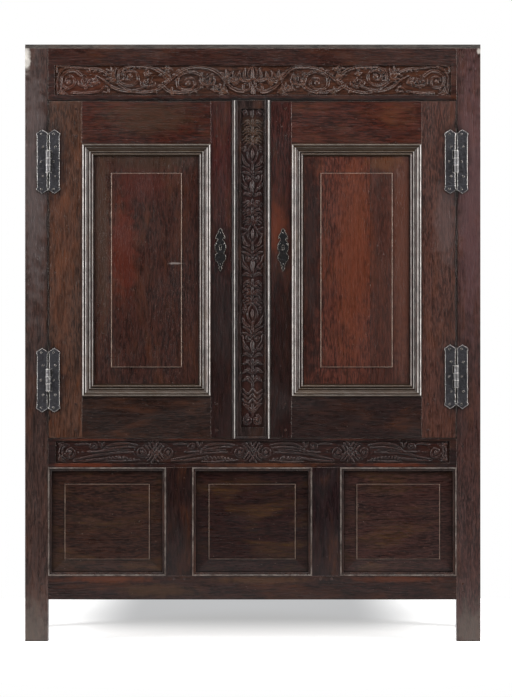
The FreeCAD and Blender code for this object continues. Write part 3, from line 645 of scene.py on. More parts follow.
@dataclass(frozen=True)
class ForgedIron:
    """Hammered iron under old wax: nearly black, pitted, worn bright and given painted highlights on its
    edges and proud parts.
    """

    name: str
    body: str
    rust: str
    wear_and_highlight: str
    roughness: float
    wear_and_highlight_strength: float
    metallic: float
    proud_y: Optional[float] = None

    # Scale in the pits, black
    SCALE = "#0d0c0c"
    HAMMER_MM = 9.0
    PIT_MM = 2.2
    BLOOM_MM = 16.0
    ROUND_MM = 2.8

    def material(self) -> bpy.types.Material:
        """Build the finish.

        Returns:
            The material.
        """
        surface = Surface(self.name, self.body)
        hammered = surface.spots(surface.place, (self.HAMMER_MM,) * 3, (0.3, 0.7), 1.0)
        pits = surface.spots(surface.place, (self.PIT_MM,) * 3, (0.52, 0.72), 3.0)
        bloom = surface.spots(surface.place, (self.BLOOM_MM,) * 3, (0.45, 0.68), 4.0, 0.5)
        surface.soften_edges(self.ROUND_MM)
        surface.stain(self.rust, bloom, 0.4)
        surface.stain(self.SCALE, pits, 0.5)
        # Painted highlights along the edges, over their worn brightness
        surface.stain(self.wear_and_highlight, surface.arris(0.92), self.wear_and_highlight_strength)
        # A painted highlight on the proud parts, such as the hinge barrels, over their worn brightness
        if self.proud_y is not None:
            surface.stain(self.wear_and_highlight, surface.nearer(self.proud_y), 0.14)
        rough = {"Value": pits, "To Min": self.roughness, "To Max": self.roughness + 0.2}
        dents = (Dent(hammered, 0.9, 1.0), Dent(pits, 0.15, 0.7, sunk=True))
        return surface.finish(surface.node("MapRange", rough), dents, {"Metallic": self.metallic})


@dataclass(frozen=True)
class Stroke:
    """One element of a carving: its line in shares of the band's unit, and its half-width in the same."""

    cut: Cut
    line: tuple[Pair, ...]
    half_width: float

    def mirrored(self) -> "Stroke":
        """The same stroke on the other side of the middle."""
        return Stroke(self.cut, tuple((-u, v) for u, v in self.line), self.half_width)

    def moved(self, along: float, up: float) -> "Stroke":
        """The same stroke somewhere else."""
        return Stroke(self.cut, tuple((u + along, v + up) for u, v in self.line), self.half_width)


def leaf(half_width: float, *line: Pair) -> Stroke:
    """A leaf along a line of points."""
    return Stroke(Cut.LEAF, line, half_width)


def stem(half_width: float, *line: Pair) -> Stroke:
    """A stem along a line of points."""
    return Stroke(Cut.STEM, line, half_width)


def leaf_fan(
    base: Pair, heading: float, spread: float, length: float, count: int, half_width: float = 0.055
) -> list[Stroke]:
    """Lobes of an acanthus leaf that open from one point.

    Args:
        base: where the lobes start.
        heading: the middle lobe's direction, in degrees from the band's length.
        spread: the angle between the outer lobes, in degrees.
        length: the middle lobe's length.
        count: how many lobes.
        half_width: half the width of a lobe.

    Returns:
        One leaf stroke for each lobe.
    """
    strokes = []
    for index in range(count):
        share = index / (count - 1) - 0.5
        angle = math.radians(heading + share * spread)
        bent = math.radians(heading + share * spread * 1.9)
        reach = length * (1 - 0.5 * abs(share))
        middle = (base[0] + 0.55 * reach * math.cos(angle), base[1] + 0.55 * reach * math.sin(angle))
        tip = (middle[0] + 0.45 * reach * math.cos(bent), middle[1] + 0.45 * reach * math.sin(bent))
        strokes.append(leaf(half_width, base, middle, tip))
    return strokes


def curl(centre: Pair, radius: float, start: float, turns: float, half_width: float = 0.045) -> list[Stroke]:
    """A small volute that winds inwards to a bud.

    Args:
        centre: its middle.
        radius: its outer radius.
        start: the angle where it starts, in degrees.
        turns: how far it winds; negative winds clockwise.
        half_width: half the width of its stem.

    Returns:
        The stem and the bud.
    """
    steps = 9
    line = []
    for index in range(steps):
        share = index / (steps - 1)
        angle = math.radians(start) + share * turns * math.tau
        reach = radius * (1 - 0.72 * share)
        line.append((centre[0] + reach * math.cos(angle), centre[1] + reach * math.sin(angle)))
    return [Stroke(Cut.CURL, tuple(line), half_width), Stroke(Cut.BUD, (centre,), 0.34 * radius)]


def foliate(
    line: Sequence[Pair], step: float, length: float, side: int, half_width: float = 0.045
) -> list[Stroke]:
    """Small leaves that spring from one side of a stem and bend along it.

    Args:
        line: the stem's points.
        step: the distance between leaves.
        length: the length of a leaf.
        side: 1 for the stem's left side, -1 for its right side.
        half_width: half the width of a leaf.

    Returns:
        One leaf stroke for each leaf.
    """
    strokes = []
    due = step * 0.6
    for (u, v), (next_u, next_v) in zip(line, line[1:]):
        run = math.hypot(next_u - u, next_v - v)
        heading = math.atan2(next_v - v, next_u - u)
        while due < run:
            base = (u + (next_u - u) * due / run, v + (next_v - v) * due / run)
            out = heading + side * math.radians(62)
            bend = heading + side * math.radians(18)
            middle = (base[0] + 0.6 * length * math.cos(out), base[1] + 0.6 * length * math.sin(out))
            tip = (middle[0] + 0.55 * length * math.cos(bend), middle[1] + 0.55 * length * math.sin(bend))
            if 0.02 < tip[1] < 0.98:
                strokes.append(leaf(half_width, base, middle, tip))
            due += step
        due -= run
    return strokes


def tulip(centre: Pair, width: float, height: float) -> list[Stroke]:
    """An open flower: a toothed crown over a cup, with a leaf on each side.

    Args:
        centre: the flower's middle.
        width: its width.
        height: its height.

    Returns:
        Its strokes.
    """
    u, v = centre
    crown = [
        (u - 0.50 * width, v + 0.50 * height),
        (u - 0.24 * width, v + 0.02 * height),
        (u, v + 0.40 * height),
        (u + 0.24 * width, v + 0.02 * height),
        (u + 0.50 * width, v + 0.50 * height),
    ]
    cup = [(u - 0.42 * width, v), (u - 0.05 * width, v - 0.5 * height), (u + 0.05 * width, v - 0.5 * height)]
    cup.append((u + 0.42 * width, v))
    strokes = [leaf(0.032, *pair) for pair in zip(crown, crown[1:])]
    strokes += [stem(0.034, *cup), leaf(0.04, (u, v - 0.35 * height), (u, v + 0.1))]
    for side in (-1, 1):
        base = (u + side * 0.1 * width, v - 0.42 * height)
        middle = (u + side * 0.62 * width, v - 0.3 * height)
        tip = (u + side * 0.85 * width, v + 0.05 * height)
        strokes.append(leaf(0.04, base, middle, tip))
    return strokes


class Relief:
    """A carved ground as a fine grid of heights, cut stroke by stroke."""

    SMOOTH_STEPS = 8

    def __init__(self, width: float, height: float, cell: float, seed: int) -> None:
        """Lay out the grid.

        Args:
            width: the band's length, in metres.
            height: the band's height, in metres.
            cell: the grid's spacing, in metres.
            seed: what the small unevenness starts from.
        """
        self.width = width
        self.height = height
        self.xs = np.linspace(0, width, round(width / cell) + 1)
        self.zs = np.linspace(0, height, round(height / cell) + 1)
        self.rise = np.zeros((len(self.zs), len(self.xs)))
        self.random = np.random.default_rng(seed)

    def smooth_line(self, points: np.ndarray) -> np.ndarray:
        """Points along a smooth curve through the given ones.

        Args:
            points: the points to pass through.

        Returns:
            A finer line of points.
        """
        if len(points) < 3:
            return points
        ends = np.vstack([2 * points[0] - points[1], points, 2 * points[-1] - points[-2]])
        fine = []
        for index in range(len(points) - 1):
            before, start, end, after = ends[index : index + 4]
            for share in np.linspace(0, 1, self.SMOOTH_STEPS, endpoint=False):
                fine.append(
                    0.5
                    * (
                        2 * start
                        + (end - before) * share
                        + (2 * before - 5 * start + 4 * end - after) * share**2
                        + (3 * start - before - 3 * end + after) * share**3
                    )
                )
        fine.append(points[-1])
        return np.array(fine)

    @staticmethod
    def width_share(cut: Cut, along: np.ndarray) -> np.ndarray:
        """How wide a stroke is at each share of its length.

        Args:
            cut: the stroke's shape.
            along: shares of its length, from zero to one.

        Returns:
            Shares of its full half-width.
        """
        if cut is Cut.LEAF:
            return np.maximum(np.sin(np.pi * np.clip(along, 0, 1) ** 0.72) ** 0.8, 0.08)
        if cut is Cut.CURL:
            return 1 - 0.5 * along
        return np.ones_like(along)

    @staticmethod
    def section(cut: Cut, off: np.ndarray) -> np.ndarray:
        """The height of a stroke's cross-section.

        Args:
            cut: the stroke's shape.
            off: distance from its line as a share of its half-width there.

        Returns:
            Shares of the carving's depth.
        """
        side = np.clip((1 - off) / 0.3, 0, 1)
        side = side * side * (3 - 2 * side)
        if cut is Cut.BUD:
            return np.sqrt(np.clip(1 - off * off, 0, 1))
        if cut is Cut.LEAF:
            return side * (1 - 0.6 * np.exp(-((off / 0.26) ** 2)))
        return side * (1 - 0.62 * np.exp(-((off / 0.42) ** 4)))

    def carve(self, stroke: Stroke, origin: Pair, unit: float) -> None:
        """Leave one stroke standing.

        Args:
            stroke: the stroke, in shares.
            origin: where the shares start, in metres from the band's lower left corner.
            unit: the length that one share stands for, in metres.
        """
        points = np.array(stroke.line, float) * unit + np.array(origin)
        line = self.smooth_line(points)
        if len(line) == 1:
            line = np.vstack([line, line + 1e-6])
        steps = np.linalg.norm(np.diff(line, axis=0), axis=1)
        along = np.concatenate([[0], np.cumsum(steps)]) / max(steps.sum(), 1e-9)
        wide = stroke.half_width * unit
        halves = self.width_share(stroke.cut, along) * wide
        low = line.min(0) - wide
        high = line.max(0) + wide
        columns = slice(np.searchsorted(self.xs, low[0]), np.searchsorted(self.xs, high[0]))
        rows = slice(np.searchsorted(self.zs, low[1]), np.searchsorted(self.zs, high[1]))
        off = np.full((rows.stop - rows.start, columns.stop - columns.start), 9.0)
        if off.size == 0:
            return
        for index in range(len(line) - 1):
            start, end = line[index], line[index + 1]
            near_low = np.minimum(start, end) - wide
            near_high = np.maximum(start, end) + wide
            near_x = slice(*np.searchsorted(self.xs[columns], (near_low[0], near_high[0])))
            near_z = slice(*np.searchsorted(self.zs[rows], (near_low[1], near_high[1])))
            grid_x = self.xs[columns][near_x][None, :]
            grid_z = self.zs[rows][near_z][:, None]
            run = end - start
            share = ((grid_x - start[0]) * run[0] + (grid_z - start[1]) * run[1]) / max(run @ run, 1e-12)
            share = np.clip(share, 0, 1)
            far = np.hypot(grid_x - start[0] - share * run[0], grid_z - start[1] - share * run[1])
            half = halves[index] + share * (halves[index + 1] - halves[index])
            off[near_z, near_x] = np.minimum(off[near_z, near_x], far / half)
        shape = np.where(off < 1, self.section(stroke.cut, np.minimum(off, 1)), 0)
        self.rise[rows, columns] = np.maximum(self.rise[rows, columns], shape)

    def soften(self) -> None:
        """Round the cuts by years of waxing and leave the ground a little uneven."""
        grain = self.random.normal(size=self.rise.shape)
        for _ in range(2):
            grain = (grain + np.roll(grain, 1, 0) + np.roll(grain, 1, 1) + np.roll(grain, -1, 1)) / 4
        padded = np.pad(self.rise, 1, mode="edge")
        cross = padded[:-2, 1:-1] + padded[2:, 1:-1] + padded[1:-1, :-2] + padded[1:-1, 2:]
        self.rise = 0.5 * self.rise + 0.125 * cross + 0.05 * grain
        self.rise = np.clip(self.rise, -0.05, 1.02)

    def piece(self, name: str, corner: Triple, ground: float, depth: float) -> bpy.types.Object:
        """Turn the grid into a mesh with its foot in the wood.

        Args:
            name: the piece's name.
            corner: the band's lower left corner, on the ground.
            ground: how far the lowest parts stand off the ground.
            depth: how far the carving stands out from there.

        Returns:
            The piece.
        """
        rows, columns = self.rise.shape
        grid_x, grid_z = np.meshgrid(self.xs, self.zs)
        depths = corner[1] - ground - depth * self.rise
        front = np.stack([corner[0] + grid_x, depths, corner[2] + grid_z], -1)
        points = front.reshape(-1, 3)
        index = np.arange(rows * columns).reshape(rows, columns)
        quads = np.stack([index[:-1, :-1], index[:-1, 1:], index[1:, 1:], index[1:, :-1]], -1).reshape(-1, 4)
        rim = np.concatenate([index[0, :], index[1:, -1], index[-1, -2::-1], index[-2:0:-1, 0]])
        foot = points[rim].copy()
        foot[:, 1] = corner[1] + ground
        behind = np.arange(len(rim)) + len(points)
        after = np.roll(np.arange(len(rim)), -1)
        walls = np.stack([rim[after], rim, behind, behind[after]], -1)
        mesh = bpy.data.meshes.new(name)
        faces = np.vstack([quads, walls])
        mesh.from_pydata(np.vstack([points, foot]).tolist(), [], faces.tolist())
        mesh.polygons.foreach_set("use_smooth", np.ones(len(faces), bool))
        rise = mesh.attributes.new("rise", "FLOAT", "POINT")
        rise.data.foreach_set("value", np.concatenate([self.rise.ravel(), np.zeros(len(rim))]))
        mesh.update()
        return show(name, mesh)


@dataclass
class CarvedBand:
    """A carved band that fills a sunk ground in the case's front."""

    name: str
    finish: WaxedOak
    width: float
    height: float
    x: float
    z: float
    seed: int
    cell: float = 1.25 * MM
    sink: float = 4.5 * MM
    stand_off: float = 0.3 * MM
    relief: float = 4.6 * MM
    unevenness: float = 0.012

    def strokes(self) -> tuple[list[Stroke], Pair, float]:
        """The carving's strokes, where their shares start and what one share measures."""
        raise NotImplementedError

    def build(self) -> None:
        """Cut the band and set it in its ground."""
        relief = Relief(self.width, self.height, self.cell, self.seed)
        strokes, origin, unit = self.strokes()
        for stroke in strokes:
            shaken = tuple(
                (u + relief.random.normal() * self.unevenness, v + relief.random.normal() * self.unevenness)
                for u, v in stroke.line
            )
            relief.carve(Stroke(stroke.cut, shaken, stroke.half_width), origin, unit)
        relief.soften()
        corner = (self.x, FRONT + self.sink, self.z)
        piece = relief.piece(self.name, corner, self.stand_off, self.relief)
        piece.data.materials.append(self.finish.material())
        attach(piece, "case")
        log.info("%s: %d strokes, %d faces", self.name, len(strokes), len(piece.data.polygons))


# The frieze's stems on one side of the middle, in shares of the band's height from its foot.
WAVE_SHARES = (
    (0.30, 0.12), (0.53, 0.14), (0.80, 0.31), (1.06, 0.63), (1.37, 0.87), (1.73, 0.95), (2.14, 0.91),
    (2.47, 0.77), (2.81, 0.50), (3.14, 0.24), (3.45, 0.10), (3.82, 0.07), (4.18, 0.14), (4.52, 0.37),
    (4.86, 0.66), (5.16, 0.84), (5.60, 0.90), (6.08, 0.93), (6.44, 0.88), (6.60, 0.62), (6.62, 0.30),
    (6.58, 0.06),
)
SECOND_WAVE_SHARES = (
    (3.62, 0.30), (3.95, 0.16), (4.32, 0.12), (4.70, 0.26), (5.02, 0.50), (5.30, 0.66),
)
END_VOLUTE_SHARES = (
    (5.80, 0.66), (6.02, 0.79), (6.30, 0.78), (6.48, 0.62), (6.47, 0.38), (6.32, 0.24), (6.12, 0.28),
    (6.03, 0.46), (6.12, 0.61), (6.28, 0.60), (6.33, 0.47),
)
LOW_VOLUTE_SHARES = (
    (3.08, 0.30), (2.81, 0.14), (2.34, 0.07), (1.90, 0.16), (1.70, 0.40), (1.80, 0.66), (2.14, 0.79),
    (2.48, 0.66), (2.56, 0.38), (2.40, 0.18), (2.12, 0.18), (1.95, 0.36), (2.04, 0.54), (2.24, 0.54),
)
HIGH_VOLUTE_SHARES = (
    (2.88, 0.48), (3.08, 0.72), (3.41, 0.90), (3.82, 0.96), (4.22, 0.93), (4.50, 0.78), (4.52, 0.50),
    (4.34, 0.34), (4.08, 0.34), (3.90, 0.50), (3.92, 0.72), (4.14, 0.82), (4.34, 0.72), (4.34, 0.54),
    (4.18, 0.50),
)
MIDDLE_VOLUTE_SHARES = (
    (0.10, 0.52), (0.07, 0.36), (0.09, 0.22), (0.22, 0.16), (0.33, 0.24), (0.29, 0.38), (0.19, 0.34),
)
FOOT_SCROLL_SHARES = (
    (6.10, 0.06), (5.80, 0.07), (5.46, 0.08), (5.20, 0.14), (5.02, 0.27), (4.88, 0.20), (4.92, 0.08),
    (5.06, 0.09),
)
# Each bud: its middle and its radius.
FRIEZE_BUD_SHARES = (
    (2.20, 0.40, 0.085), (4.16, 0.63, 0.085), (6.22, 0.44, 0.075), (2.98, 0.93, 0.045), (1.18, 0.30, 0.035),
)
# Each leaf: where it springs from, its heading, its spread, its length and its number of lobes.
FRIEZE_LEAF_SHARES = (
    (0.95, 0.42, 128, 84, 0.50, 5),
    (0.62, 0.30, 96, 56, 0.52, 4),
    (0.86, 0.06, 30, 62, 0.50, 5),
    (1.22, 0.12, 60, 60, 0.30, 3),
    (2.74, 0.01, 90, 80, 0.27, 3),
    (2.80, 0.60, 35, 40, 0.52, 3),
    (2.72, 0.86, 5, 40, 0.40, 3),
    (4.70, 0.60, 62, 60, 0.42, 4),
    (4.62, 0.50, 20, 60, 0.40, 4),
    (6.54, 0.02, 140, 60, 0.34, 3),
    (3.30, 0.16, -80, 50, 0.16, 2),
    (5.22, 0.40, 20, 70, 0.34, 4),
    (1.36, 0.68, -60, 60, 0.22, 3),
    (3.58, 0.62, 100, 70, 0.24, 3),
)


@dataclass
class FriezeCarving(CarvedBand):
    """Scrolling stems that run from a pointed palmette to both ends of the frieze."""

    def strokes(self) -> tuple[list[Stroke], Pair, float]:
        """Draw one half and mirror it.

        Returns:
            The strokes, the middle of the band's foot, and the band's height as the unit.
        """
        half = [
            Stroke(Cut.CURL, WAVE_SHARES, 0.062),
            leaf(0.055, *SECOND_WAVE_SHARES),
            Stroke(Cut.CURL, END_VOLUTE_SHARES, 0.058),
            Stroke(Cut.CURL, LOW_VOLUTE_SHARES, 0.06),
            Stroke(Cut.CURL, HIGH_VOLUTE_SHARES, 0.06),
            Stroke(Cut.CURL, MIDDLE_VOLUTE_SHARES, 0.045),
            Stroke(Cut.CURL, FOOT_SCROLL_SHARES, 0.045),
            *(Stroke(Cut.BUD, ((u, v),), size) for u, v, size in FRIEZE_BUD_SHARES),
            leaf(0.04, (6.20, 0.97), (6.5, 0.99), (6.64, 0.93), (6.66, 0.7)),
            stem(0.03, (0.0, 0.99), (0.11, 0.86), (0.14, 0.68), (0.06, 0.5)),
            leaf(0.05, (0.08, 0.46), (0.28, 0.62), (0.24, 0.9)),
            leaf(0.05, (0.1, 0.44), (0.42, 0.54), (0.44, 0.8)),
        ]
        for u, v, heading, spread, length, count in FRIEZE_LEAF_SHARES:
            half += leaf_fan((u, v), heading, spread, length, count, 0.048)
        for centre, height in (((1.54, 0.53), 0.46), ((3.55, 0.44), 0.36), ((5.66, 0.48), 0.44)):
            half += tulip(centre, 0.30, height)
        half += foliate(WAVE_SHARES[4:10], 0.20, 0.13, 1, 0.03)
        half += foliate(WAVE_SHARES[13:17], 0.20, 0.13, -1, 0.03)
        half += foliate(LOW_VOLUTE_SHARES[2:9], 0.22, 0.12, 1, 0.028)
        half += foliate(HIGH_VOLUTE_SHARES[2:8], 0.22, 0.12, -1, 0.028)
        whole = half + [stroke.mirrored() for stroke in half]
        whole.append(leaf(0.075, (0, 0.52), (0, 0.72), (0, 0.96)))
        whole.append(leaf(0.075, (0, 0.02), (0, 0.14), (0, 0.34)))
        return whole, (self.width / 2, 0.0), self.height


@dataclass
class MidRailCarving(CarvedBand):
    """Pairs of small volutes in fine feathered leaves, with long thin leaves running between the pairs."""

    repeat: float = 4.47

    def strokes(self) -> tuple[list[Stroke], Pair, float]:
        """Draw one repeat and the lattice between two, and set them out from the middle.

        Returns:
            The strokes, the middle of the band's foot, and the band's height as the unit.
        """
        unit = [
            leaf(0.038, (-1.5, 0.16), (-0.9, 0.26), (-0.3, 0.42), (0.4, 0.48), (1.25, 0.5)),
            leaf(0.05, (-1.5, 0.08), (-0.8, 0.12), (-0.1, 0.2), (0.22, 0.33)),
            leaf(0.048, (0.02, 0.76), (0.45, 0.88), (1.0, 0.88), (1.5, 0.82)),
            leaf(0.036, (-0.2, 0.58), (0.4, 0.68), (0.9, 0.74), (1.4, 0.7)),
            leaf(0.03, (-0.9, 0.5), (-0.3, 0.52), (0.4, 0.58), (1.1, 0.6)),
            leaf(0.036, (-0.1, 0.08), (0.6, 0.05), (1.1, 0.09), (1.6, 0.14)),
            leaf(0.034, (-1.4, 0.86), (-1.0, 0.9), (-0.7, 0.84)),
            leaf(0.04, (-0.3, 0.97), (-0.24, 0.82), (-0.2, 0.68)),
            leaf(0.04, (-0.08, 0.97), (-0.14, 0.82), (-0.18, 0.68)),
            leaf(0.035, (-0.1, 0.66), (0.02, 0.7), (0.16, 0.64)),
            Stroke(Cut.BUD, ((0.84, 0.26),), 0.055),
            *curl((-0.53, 0.76), 0.15, 200, -1.2, 0.042),
            *foliate(((-0.1, 0.24), (0.6, 0.3), (1.3, 0.2)), 0.16, 0.13, -1, 0.036),
        ]
        for side in (-1, 1):
            eye = 1.65 * side
            unit += curl((eye, 0.5), 0.25, 90 - 115 * side, -1.35 * side, 0.05)
            for reach in (0.36, 0.46):
                arc = [math.radians(turn) for turn in (-62, -30, 0, 30, 62)]
                ring = [(eye + side * reach * math.cos(turn), 0.5 + reach * math.sin(turn)) for turn in arc]
                unit.append(leaf(0.03, *ring))
            for up in (-1, 1):
                unit.append(leaf(0.03, (eye, 0.5 + up * 0.3), (eye + side * 0.25, 0.5 + up * 0.42)))
                unit.append(leaf(0.03, (eye - side * 0.3, 0.5 + up * 0.14), (eye - side * 0.4, 0.5)))
            unit.append(leaf(0.05, (eye - side * 0.4, 0.5), (eye - side * 0.62, 0.52)))
        crossing = []
        for side in (-1, 1):
            for shift in (-0.18, 0.0, 0.18):
                bar = ((shift - 0.22 * side, 0.76), (shift, 0.5), (shift + 0.22 * side, 0.24))
                crossing.append(stem(0.026, *bar))
            crossing.append(leaf(0.045, (0.14 * side, 0.98), (0.08 * side, 0.84), (0, 0.74)))
            crossing.append(leaf(0.045, (0.14 * side, 0.02), (0.08 * side, 0.16), (0, 0.26)))
            crossing.append(leaf(0.035, (0.3 * side, 0.95), (0.24 * side, 0.86), (0.2 * side, 0.78)))
        whole = []
        for number in (0.5, 1.5):
            whole += [stroke.moved(-number * self.repeat, 0) for stroke in unit]
            whole += [stroke.mirrored().moved(number * self.repeat, 0) for stroke in unit]
        for number in (-1, 0, 1):
            whole += [stroke.moved(number * self.repeat, 0) for stroke in crossing]
        end = self.width / self.height / 2
        for sign in (-1, 1):
            whole += leaf_fan((sign * (end - 0.12), 0.12), 90 + sign * 58, 70, 0.36, 4, 0.035)
            whole += leaf_fan((sign * (end - 0.12), 0.9), 90 + sign * 122, 60, 0.34, 3, 0.035)
        return whole, (self.width / 2, 0.0), self.height


@dataclass
class MuntinCarving(CarvedBand):
    """A candelabrum of paired leaves, teardrops and sprays that climbs the centre muntin."""

    repeat: float = 3.556
    first: float = 0.47

    def candelabrum(self, bracketed: bool) -> list[Stroke]:
        """One repeat, hanging down from its top.

        Args:
            bracketed: whether brackets hook in from the sides beside the teardrop.

        Returns:
            The strokes on the right side and on the middle line.
        """
        side = []
        for tier in range(3):
            top = 0.12 + 0.37 * tier
            side.append(leaf(0.062, (0.02, -top - 0.16), (0.2, -top + 0.02), (0.46, -top - 0.08)))
            side.append(leaf(0.045, (0.06, -top - 0.17), (0.25, -top - 0.1), (0.43, -top - 0.2)))
            side.append(leaf(0.04, (0.05, -top - 0.2), (0.2, -top - 0.2), (0.34, -top - 0.3)))
        side.append(stem(0.036, (0, -1.06), (0.19, -1.42), (0.16, -1.72), (0, -1.96)))
        if bracketed:
            side.append(stem(0.035, (0.47, -1.26), (0.26, -1.38), (0.28, -1.5), (0.47, -1.6)))
        else:
            side += curl((0.34, -1.36), 0.12, 100, -1.1, 0.035)
        side += [
            leaf(0.075, (0.12, -2.1), (0.34, -1.95), (0.44, -1.62)),
            leaf(0.055, (0.03, -2.42), (0.24, -2.2), (0.46, -2.08)),
            leaf(0.05, (0.03, -2.5), (0.26, -2.38), (0.47, -2.34)),
            *curl((0.17, -2.64), 0.11, 60, -1.1, 0.04),
            stem(0.04, (0.46, -2.5), (0.42, -2.78), (0.24, -3.0), (0.06, -3.3)),
            leaf(0.06, (0.2, -3.1), (0.36, -3.02), (0.46, -2.82)),
            leaf(0.06, (0.05, -3.42), (0.28, -3.3), (0.46, -3.36)),
        ]
        middle = [
            stem(0.032, (0, -0.02), (0, -0.6), (0, -1.1)),
            leaf(0.075, (0, -1.32), (0, -1.55), (0, -1.84)),
            stem(0.03, (0, -1.96), (0, -2.2), (0, -2.6)),
            leaf(0.085, (0, -2.7), (0, -2.95), (0, -3.38)),
        ]
        return side + [stroke.mirrored() for stroke in side] + middle

    def strokes(self) -> tuple[list[Stroke], Pair, float]:
        """Hang the repeats under a pair of rosettes and close them with two volutes.

        Returns:
            The strokes, the middle of the strip's top, and the strip's width as the unit.
        """
        whole = []
        for sign in (-1, 1):
            whole += curl((0.3 * sign, -0.2), 0.13, 90, -1.1 * sign, 0.045)
        whole.append(leaf(0.07, (0, -0.06), (0, -0.2), (0, -0.42)))
        for number in range(3):
            start = self.first + number * self.repeat
            whole += [stroke.moved(0, -start) for stroke in self.candelabrum(number % 2 == 1)]
        start = self.first + 3 * self.repeat
        foot = []
        for tier in range(3):
            top = start + 0.1 + 0.37 * tier
            foot.append(leaf(0.085, (0.02, -top - 0.16), (0.2, -top + 0.02), (0.44, -top - 0.1)))
        lattice = start + 1.3
        for step in range(3):
            top = lattice + 0.22 * step
            foot.append(stem(0.026, (0.0, -top), (0.2, -top - 0.2), (0.42, -top - 0.02)))
        foot.append(leaf(0.07, (0.03, -start - 2.35), (0.2, -start - 2.1), (0.42, -start - 1.95)))
        foot += curl((0.2, -start - 2.68), 0.2, 80, -1.3, 0.06)
        whole += foot + [stroke.mirrored() for stroke in foot]
        whole.append(stem(0.03, (0, -start), (0, -start - 1.2)))
        whole.append(leaf(0.07, (0, -start - 1.95), (0, -start - 2.2), (0, -start - 2.5)))
        return whole, (self.width / 2, self.height), self.width


@dataclass
class Fixings:
    """Heads that stand proud at given places: nails in the ironwork, pegs in the joints."""

    name: str
    body: str
    slot: str
    finish: bpy.types.Material
    shape: HeadShape
    radius: float
    rise: float
    places: list[Triple]
    seed: int

    def tree(self) -> bpy.types.NodeTree:
        """Set a head on each point, each turned and sized a little differently.

        Returns:
            The node tree, with the head's radius, its rise and the seed as inputs.
        """
        tree = bpy.data.node_groups.new(f"{self.name}_heads", "GeometryNodeTree")
        tree.interface.new_socket("Geometry", in_out="INPUT", socket_type="NodeSocketGeometry")
        for label in ("Head Radius", "Head Rise"):
            tree.interface.new_socket(label, in_out="INPUT", socket_type="NodeSocketFloat")
        tree.interface.new_socket("Seed", in_out="INPUT", socket_type="NodeSocketInt")
        tree.interface.new_socket("Geometry", in_out="OUTPUT", socket_type="NodeSocketGeometry")
        given = add(tree, "NodeGroupInput").outputs
        if self.shape is HeadShape.DOME:
            head = add(tree, "GeometryNodeMeshUVSphere", {"Segments": 10, "Rings": 6, "Radius": 1.0})
        else:
            barrel = add(tree, "GeometryNodeMeshCylinder", {"Vertices": 8, "Radius": 1.0, "Depth": 2.0})
            lying = {"Geometry": barrel, "Rotation": (math.pi / 2, 0.0, 0.0)}
            head = add(tree, "GeometryNodeTransform", lying)
        sizes = add(tree, "ShaderNodeCombineXYZ", {0: given[1], 1: given[2], 2: given[1]})
        least = add(tree, "ShaderNodeVectorMath", {0: sizes, 1: (0.88,) * 3}, operation="MULTIPLY")
        most = add(tree, "ShaderNodeVectorMath", {0: sizes, 1: (1.1,) * 3}, operation="MULTIPLY")
        span = {"Min": least, "Max": most, "Seed": given[3]}
        size = add(tree, "FunctionNodeRandomValue", span, data_type="FLOAT_VECTOR")
        span = {"Min": (-0.08, 0.0, -0.08), "Max": (0.08, math.tau, 0.08), "Seed": given[3]}
        turn = add(tree, "FunctionNodeRandomValue", span, data_type="FLOAT_VECTOR")
        spread = {"Points": given[0], "Instance": head, "Rotation": turn, "Scale": size}
        heads = add(tree, "GeometryNodeInstanceOnPoints", spread)
        real = add(tree, "GeometryNodeRealizeInstances", {0: heads})
        dressed = add(tree, "GeometryNodeSetMaterial", {"Geometry": real, "Material": self.finish})
        add(tree, "NodeGroupOutput", {0: dressed})
        return tree

    def build(self) -> None:
        """Make the heads, turn them into one plain mesh and put it on its body."""
        mesh = bpy.data.meshes.new(self.name + "_places")
        mesh.from_pydata(self.places, [], [])
        carrier = show(self.name + "_carrier", mesh)
        modifier = carrier.modifiers.new("heads", "NODES")
        modifier.node_group = self.tree()
        values = {"Head Radius": self.radius, "Head Rise": self.rise, "Seed": self.seed}
        for item in modifier.node_group.interface.items_tree:
            if item.item_type == "SOCKET" and item.in_out == "INPUT" and item.name in values:
                modifier[item.identifier] = values[item.name]
        graph = bpy.context.evaluated_depsgraph_get()
        made = bpy.data.meshes.new_from_object(carrier.evaluated_get(graph))
        bpy.data.objects.remove(carrier)
        if self.shape is HeadShape.DOME:
            made.polygons.foreach_set("use_smooth", np.ones(len(made.polygons), bool))
        piece = show(self.name, made)
        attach(piece, self.body)
        log.info("%s: %d heads on %s", self.name, len(self.places), self.body)


